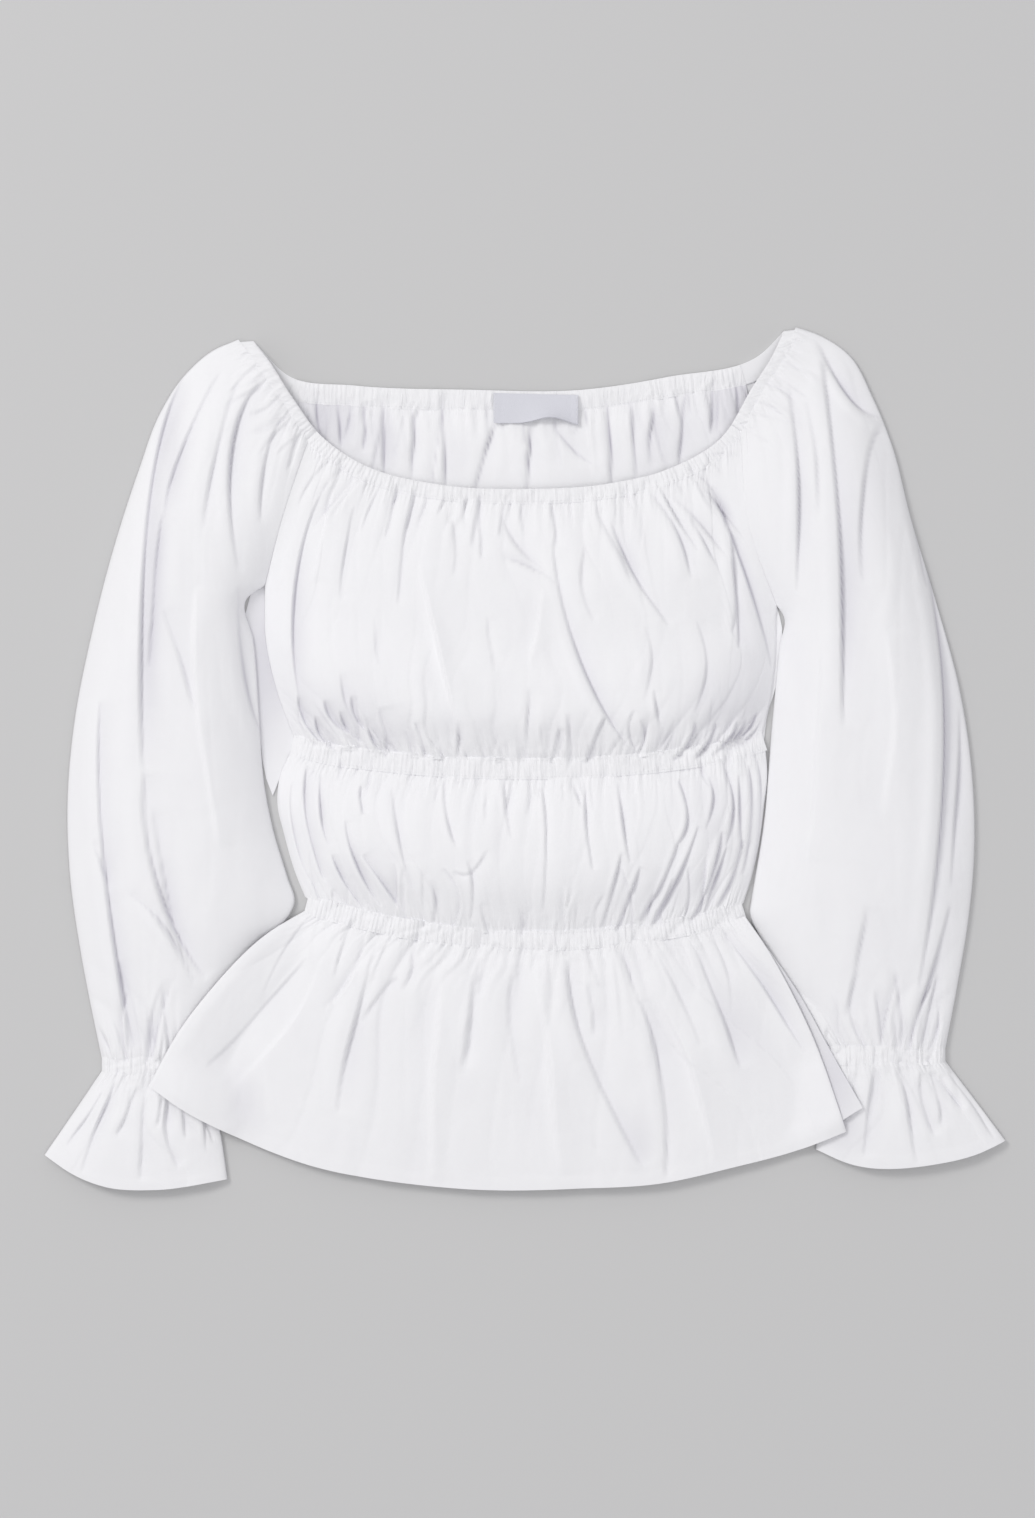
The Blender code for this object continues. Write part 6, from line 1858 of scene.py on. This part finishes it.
def area_light(name, place, target, size, power, colour):
    """A square soft light that looks at a point."""
    data = bpy.data.lights.new(name, "AREA")
    data.shape = "RECTANGLE"
    data.size, data.size_y = size
    data.energy = power
    data.color = colour
    lamp = bpy.data.objects.new(name, data)
    lamp.location = place
    lamp.rotation_euler = (Vector(target) - Vector(place)).to_track_quat("-Z", "Y").to_euler()
    bpy.context.scene.collection.objects.link(lamp)


def flat_material(name, colour, roughness):
    """A plain matt material."""
    made = bpy.data.materials.new(name)
    made.use_nodes = True
    shader = made.node_tree.nodes["Principled BSDF"]
    shader.inputs["Base Color"].default_value = (*colour, 1.0)
    shader.inputs["Roughness"].default_value = roughness
    return made


class BlouseSettings(bpy.types.PropertyGroup):
    """What a user would change on the blouse and its stage."""

    cloth_wall: bpy.props.FloatProperty(
        name="Cloth thickness", description="Wall of the panels, sleeves and flounces", default=0.0007,
        min=0.0003, max=0.0012, unit="LENGTH",
    )
    casing_wall: bpy.props.FloatProperty(
        name="Casing thickness", description="Wall of the elastic casings", default=0.0018, min=0.001,
        max=0.002, unit="LENGTH",
    )
    fold_depth: bpy.props.FloatProperty(
        name="Fold depth", description="Depth of the large folds, as a share of their own", default=1.0,
        min=0.0, max=1.3, subtype="FACTOR",
    )
    gather_depth: bpy.props.FloatProperty(
        name="Gather depth", description="Depth of the gathers at the seams, as a share of their own",
        default=1.0, min=0.0, max=1.5, subtype="FACTOR",
    )
    crease_depth: bpy.props.FloatProperty(
        name="Crease depth", description="Depth of the small creases, as a share of their own", default=1.0,
        min=0.0, max=2.0, subtype="FACTOR",
    )
    thread: bpy.props.FloatProperty(
        name="Thread", description="Diameter of the sewing thread", default=0.00035, min=0.0001, max=0.001,
        unit="LENGTH",
    )
    label_wave: bpy.props.FloatProperty(
        name="Label lift", description="How far the label's lower edge buckles up", default=0.005,
        min=0.0, max=0.007, unit="LENGTH",
    )
    cotton_colour: bpy.props.FloatVectorProperty(
        name="Cotton", description="Colour of the poplin", default=SLOTS["cotton_poplin"]["base_color"],
        size=3, min=0.0, max=1.0, subtype="COLOR",
    )
    # The colour of the painted shade in folds, creases and shaded patches
    shade_colour: bpy.props.FloatVectorProperty(
        name="Painted shade in folds", description="Colour that the poplin turns to in its deepest folds",
        default=(0.42, 0.40, 0.49), size=3, min=0.0, max=1.0, subtype="COLOR",
    )
    label_colour: bpy.props.FloatVectorProperty(
        name="Label", description="Colour of the woven label", default=(0.72, 0.725, 0.785),
        size=3, min=0.0, max=1.0, subtype="COLOR",
    )
    floor_colour: bpy.props.FloatVectorProperty(
        name="Floor", description="Colour of the surface that the blouse lies on",
        default=(0.585, 0.585, 0.588), size=3, min=0.0, max=1.0, subtype="COLOR",
    )


class BLOUSE_OT_bodice(bpy.types.Operator):
    """Make the front and back panels of the bodice"""

    bl_idname = "blouse.bodice"
    bl_label = "Bodice"

    def execute(self, context):
        settings = context.scene.blouse
        look = materials(settings)["Cotton poplin"]
        build_back_bodice(settings, look)
        build_front_panel(FRONT_BODICE, settings, look)
        return {"FINISHED"}


class BLOUSE_OT_midriff(bpy.types.Operator):
    """Make the front and back panels between the two elastics"""

    bl_idname = "blouse.midriff"
    bl_label = "Midriff"

    def execute(self, context):
        settings = context.scene.blouse
        look = materials(settings)["Cotton poplin"]
        build_back_midriff(look)
        build_front_panel(FRONT_MIDRIFF, settings, look)
        return {"FINISHED"}


class BLOUSE_OT_sleeves(bpy.types.Operator):
    """Make both raglan balloon sleeves"""

    bl_idname = "blouse.sleeves"
    bl_label = "Sleeves"

    def execute(self, context):
        settings = context.scene.blouse
        for arm in (LEFT, RIGHT):
            build_sleeve(arm, settings, materials(settings)["Cotton poplin"])
        return {"FINISHED"}


class BLOUSE_OT_wrists(bpy.types.Operator):
    """Make the wrists' elastic casings and the flounces below them"""

    bl_idname = "blouse.wrists"
    bl_label = "Wrists and flounces"

    def execute(self, context):
        settings = context.scene.blouse
        looks = materials(settings)
        for arm in (LEFT, RIGHT):
            build_wrist(arm, settings, looks["Cotton poplin"], looks["Elastic casing"])
        return {"FINISHED"}


class BLOUSE_OT_peplum(bpy.types.Operator):
    """Make the front and back panels below the waist"""

    bl_idname = "blouse.peplum"
    bl_label = "Peplum"

    def execute(self, context):
        settings = context.scene.blouse
        build_peplum(settings, materials(settings)["Cotton poplin"])
        return {"FINISHED"}


class BLOUSE_OT_casings(bpy.types.Operator):
    """Make the elastic casings of the neckline, the bust and the waist, with their stitching"""

    bl_idname = "blouse.casings"
    bl_label = "Elastic casings"

    def execute(self, context):
        settings = context.scene.blouse
        looks = materials(settings)
        grids = build_casings(settings, looks["Elastic casing"])
        stitch_mesh("stitching_casings", casing_seams(grids), settings, looks["Cotton thread"])
        return {"FINISHED"}


class BLOUSE_OT_label(bpy.types.Operator):
    """Make the blank woven label in the back neck, sewn at both ends"""

    bl_idname = "blouse.label"
    bl_label = "Label"

    def execute(self, context):
        settings = context.scene.blouse
        looks = materials(settings)
        ends = label_seams(build_label(settings, looks["Woven label"]))
        stitch_mesh("stitching_label", ends, settings, looks["Cotton thread"])
        return {"FINISHED"}


class BLOUSE_OT_stage(bpy.types.Operator):
    """Make the floor, the soft lights and the camera that looks straight down"""

    bl_idname = "blouse.stage"
    bl_label = "Stage"

    def execute(self, context):
        scene = context.scene
        settings = scene.blouse
        bpy.ops.mesh.primitive_plane_add(size=FLOOR_SIZE)
        floor = context.object
        floor.name = "floor"
        floor.data.materials.append(flat_material("Pale floor", settings.floor_colour, FLOOR_ROUGHNESS))
        for light in LIGHTS:
            area_light(*light)
        world = bpy.data.worlds.new("Studio")
        world.use_nodes = True
        background = world.node_tree.nodes["Background"]
        background.inputs["Color"].default_value = (*FILL_COLOUR, 1.0)
        background.inputs["Strength"].default_value = FILL_STRENGTH
        scene.world = world
        scene.view_settings.view_transform = "Standard"
        data = bpy.data.cameras.new("Camera")
        data.sensor_fit = "AUTO"
        data.sensor_width = SENSOR
        data.lens = SENSOR * CAMERA_HEIGHT / (PHOTO_PIXELS[1] * PIXEL * MM)
        camera = bpy.data.objects.new("Camera", data)
        camera.location = (CAMERA_X * MM, CAMERA_Y * MM, CAMERA_HEIGHT)
        scene.collection.objects.link(camera)
        scene.camera = camera
        return {"FINISHED"}


class BLOUSE_PT_panel(bpy.types.Panel):
    """The blouse's tab in the 3D view's sidebar"""

    bl_label = "Peasant blouse"
    bl_idname = "BLOUSE_PT_panel"
    bl_space_type = "VIEW_3D"
    bl_region_type = "UI"
    bl_category = "Blouse"

    def draw(self, context):
        settings = context.scene.blouse
        for name in BlouseSettings.__annotations__:
            self.layout.prop(settings, name)
        for operator in OPERATORS:
            self.layout.operator(operator.bl_idname)


OPERATORS = (
    BLOUSE_OT_stage, BLOUSE_OT_bodice, BLOUSE_OT_midriff, BLOUSE_OT_sleeves, BLOUSE_OT_wrists,
    BLOUSE_OT_peplum, BLOUSE_OT_casings, BLOUSE_OT_label,
)
CLASSES = (BlouseSettings, *OPERATORS, BLOUSE_PT_panel)


def register():
    """Makes the settings, the operators and the panel known to Blender."""
    for cls in CLASSES:
        bpy.utils.register_class(cls)
    bpy.types.Scene.blouse = bpy.props.PointerProperty(type=BlouseSettings)


def unregister():
    """Takes them away again."""
    del bpy.types.Scene.blouse
    for cls in reversed(CLASSES):
        bpy.utils.unregister_class(cls)


def main():
    """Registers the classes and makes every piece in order."""
    register()
    bpy.ops.blouse.stage()
    bpy.ops.blouse.bodice()
    bpy.ops.blouse.midriff()
    bpy.ops.blouse.sleeves()
    bpy.ops.blouse.wrists()
    bpy.ops.blouse.peplum()
    bpy.ops.blouse.casings()
    bpy.ops.blouse.label()


if __name__ == "__main__":
    main()
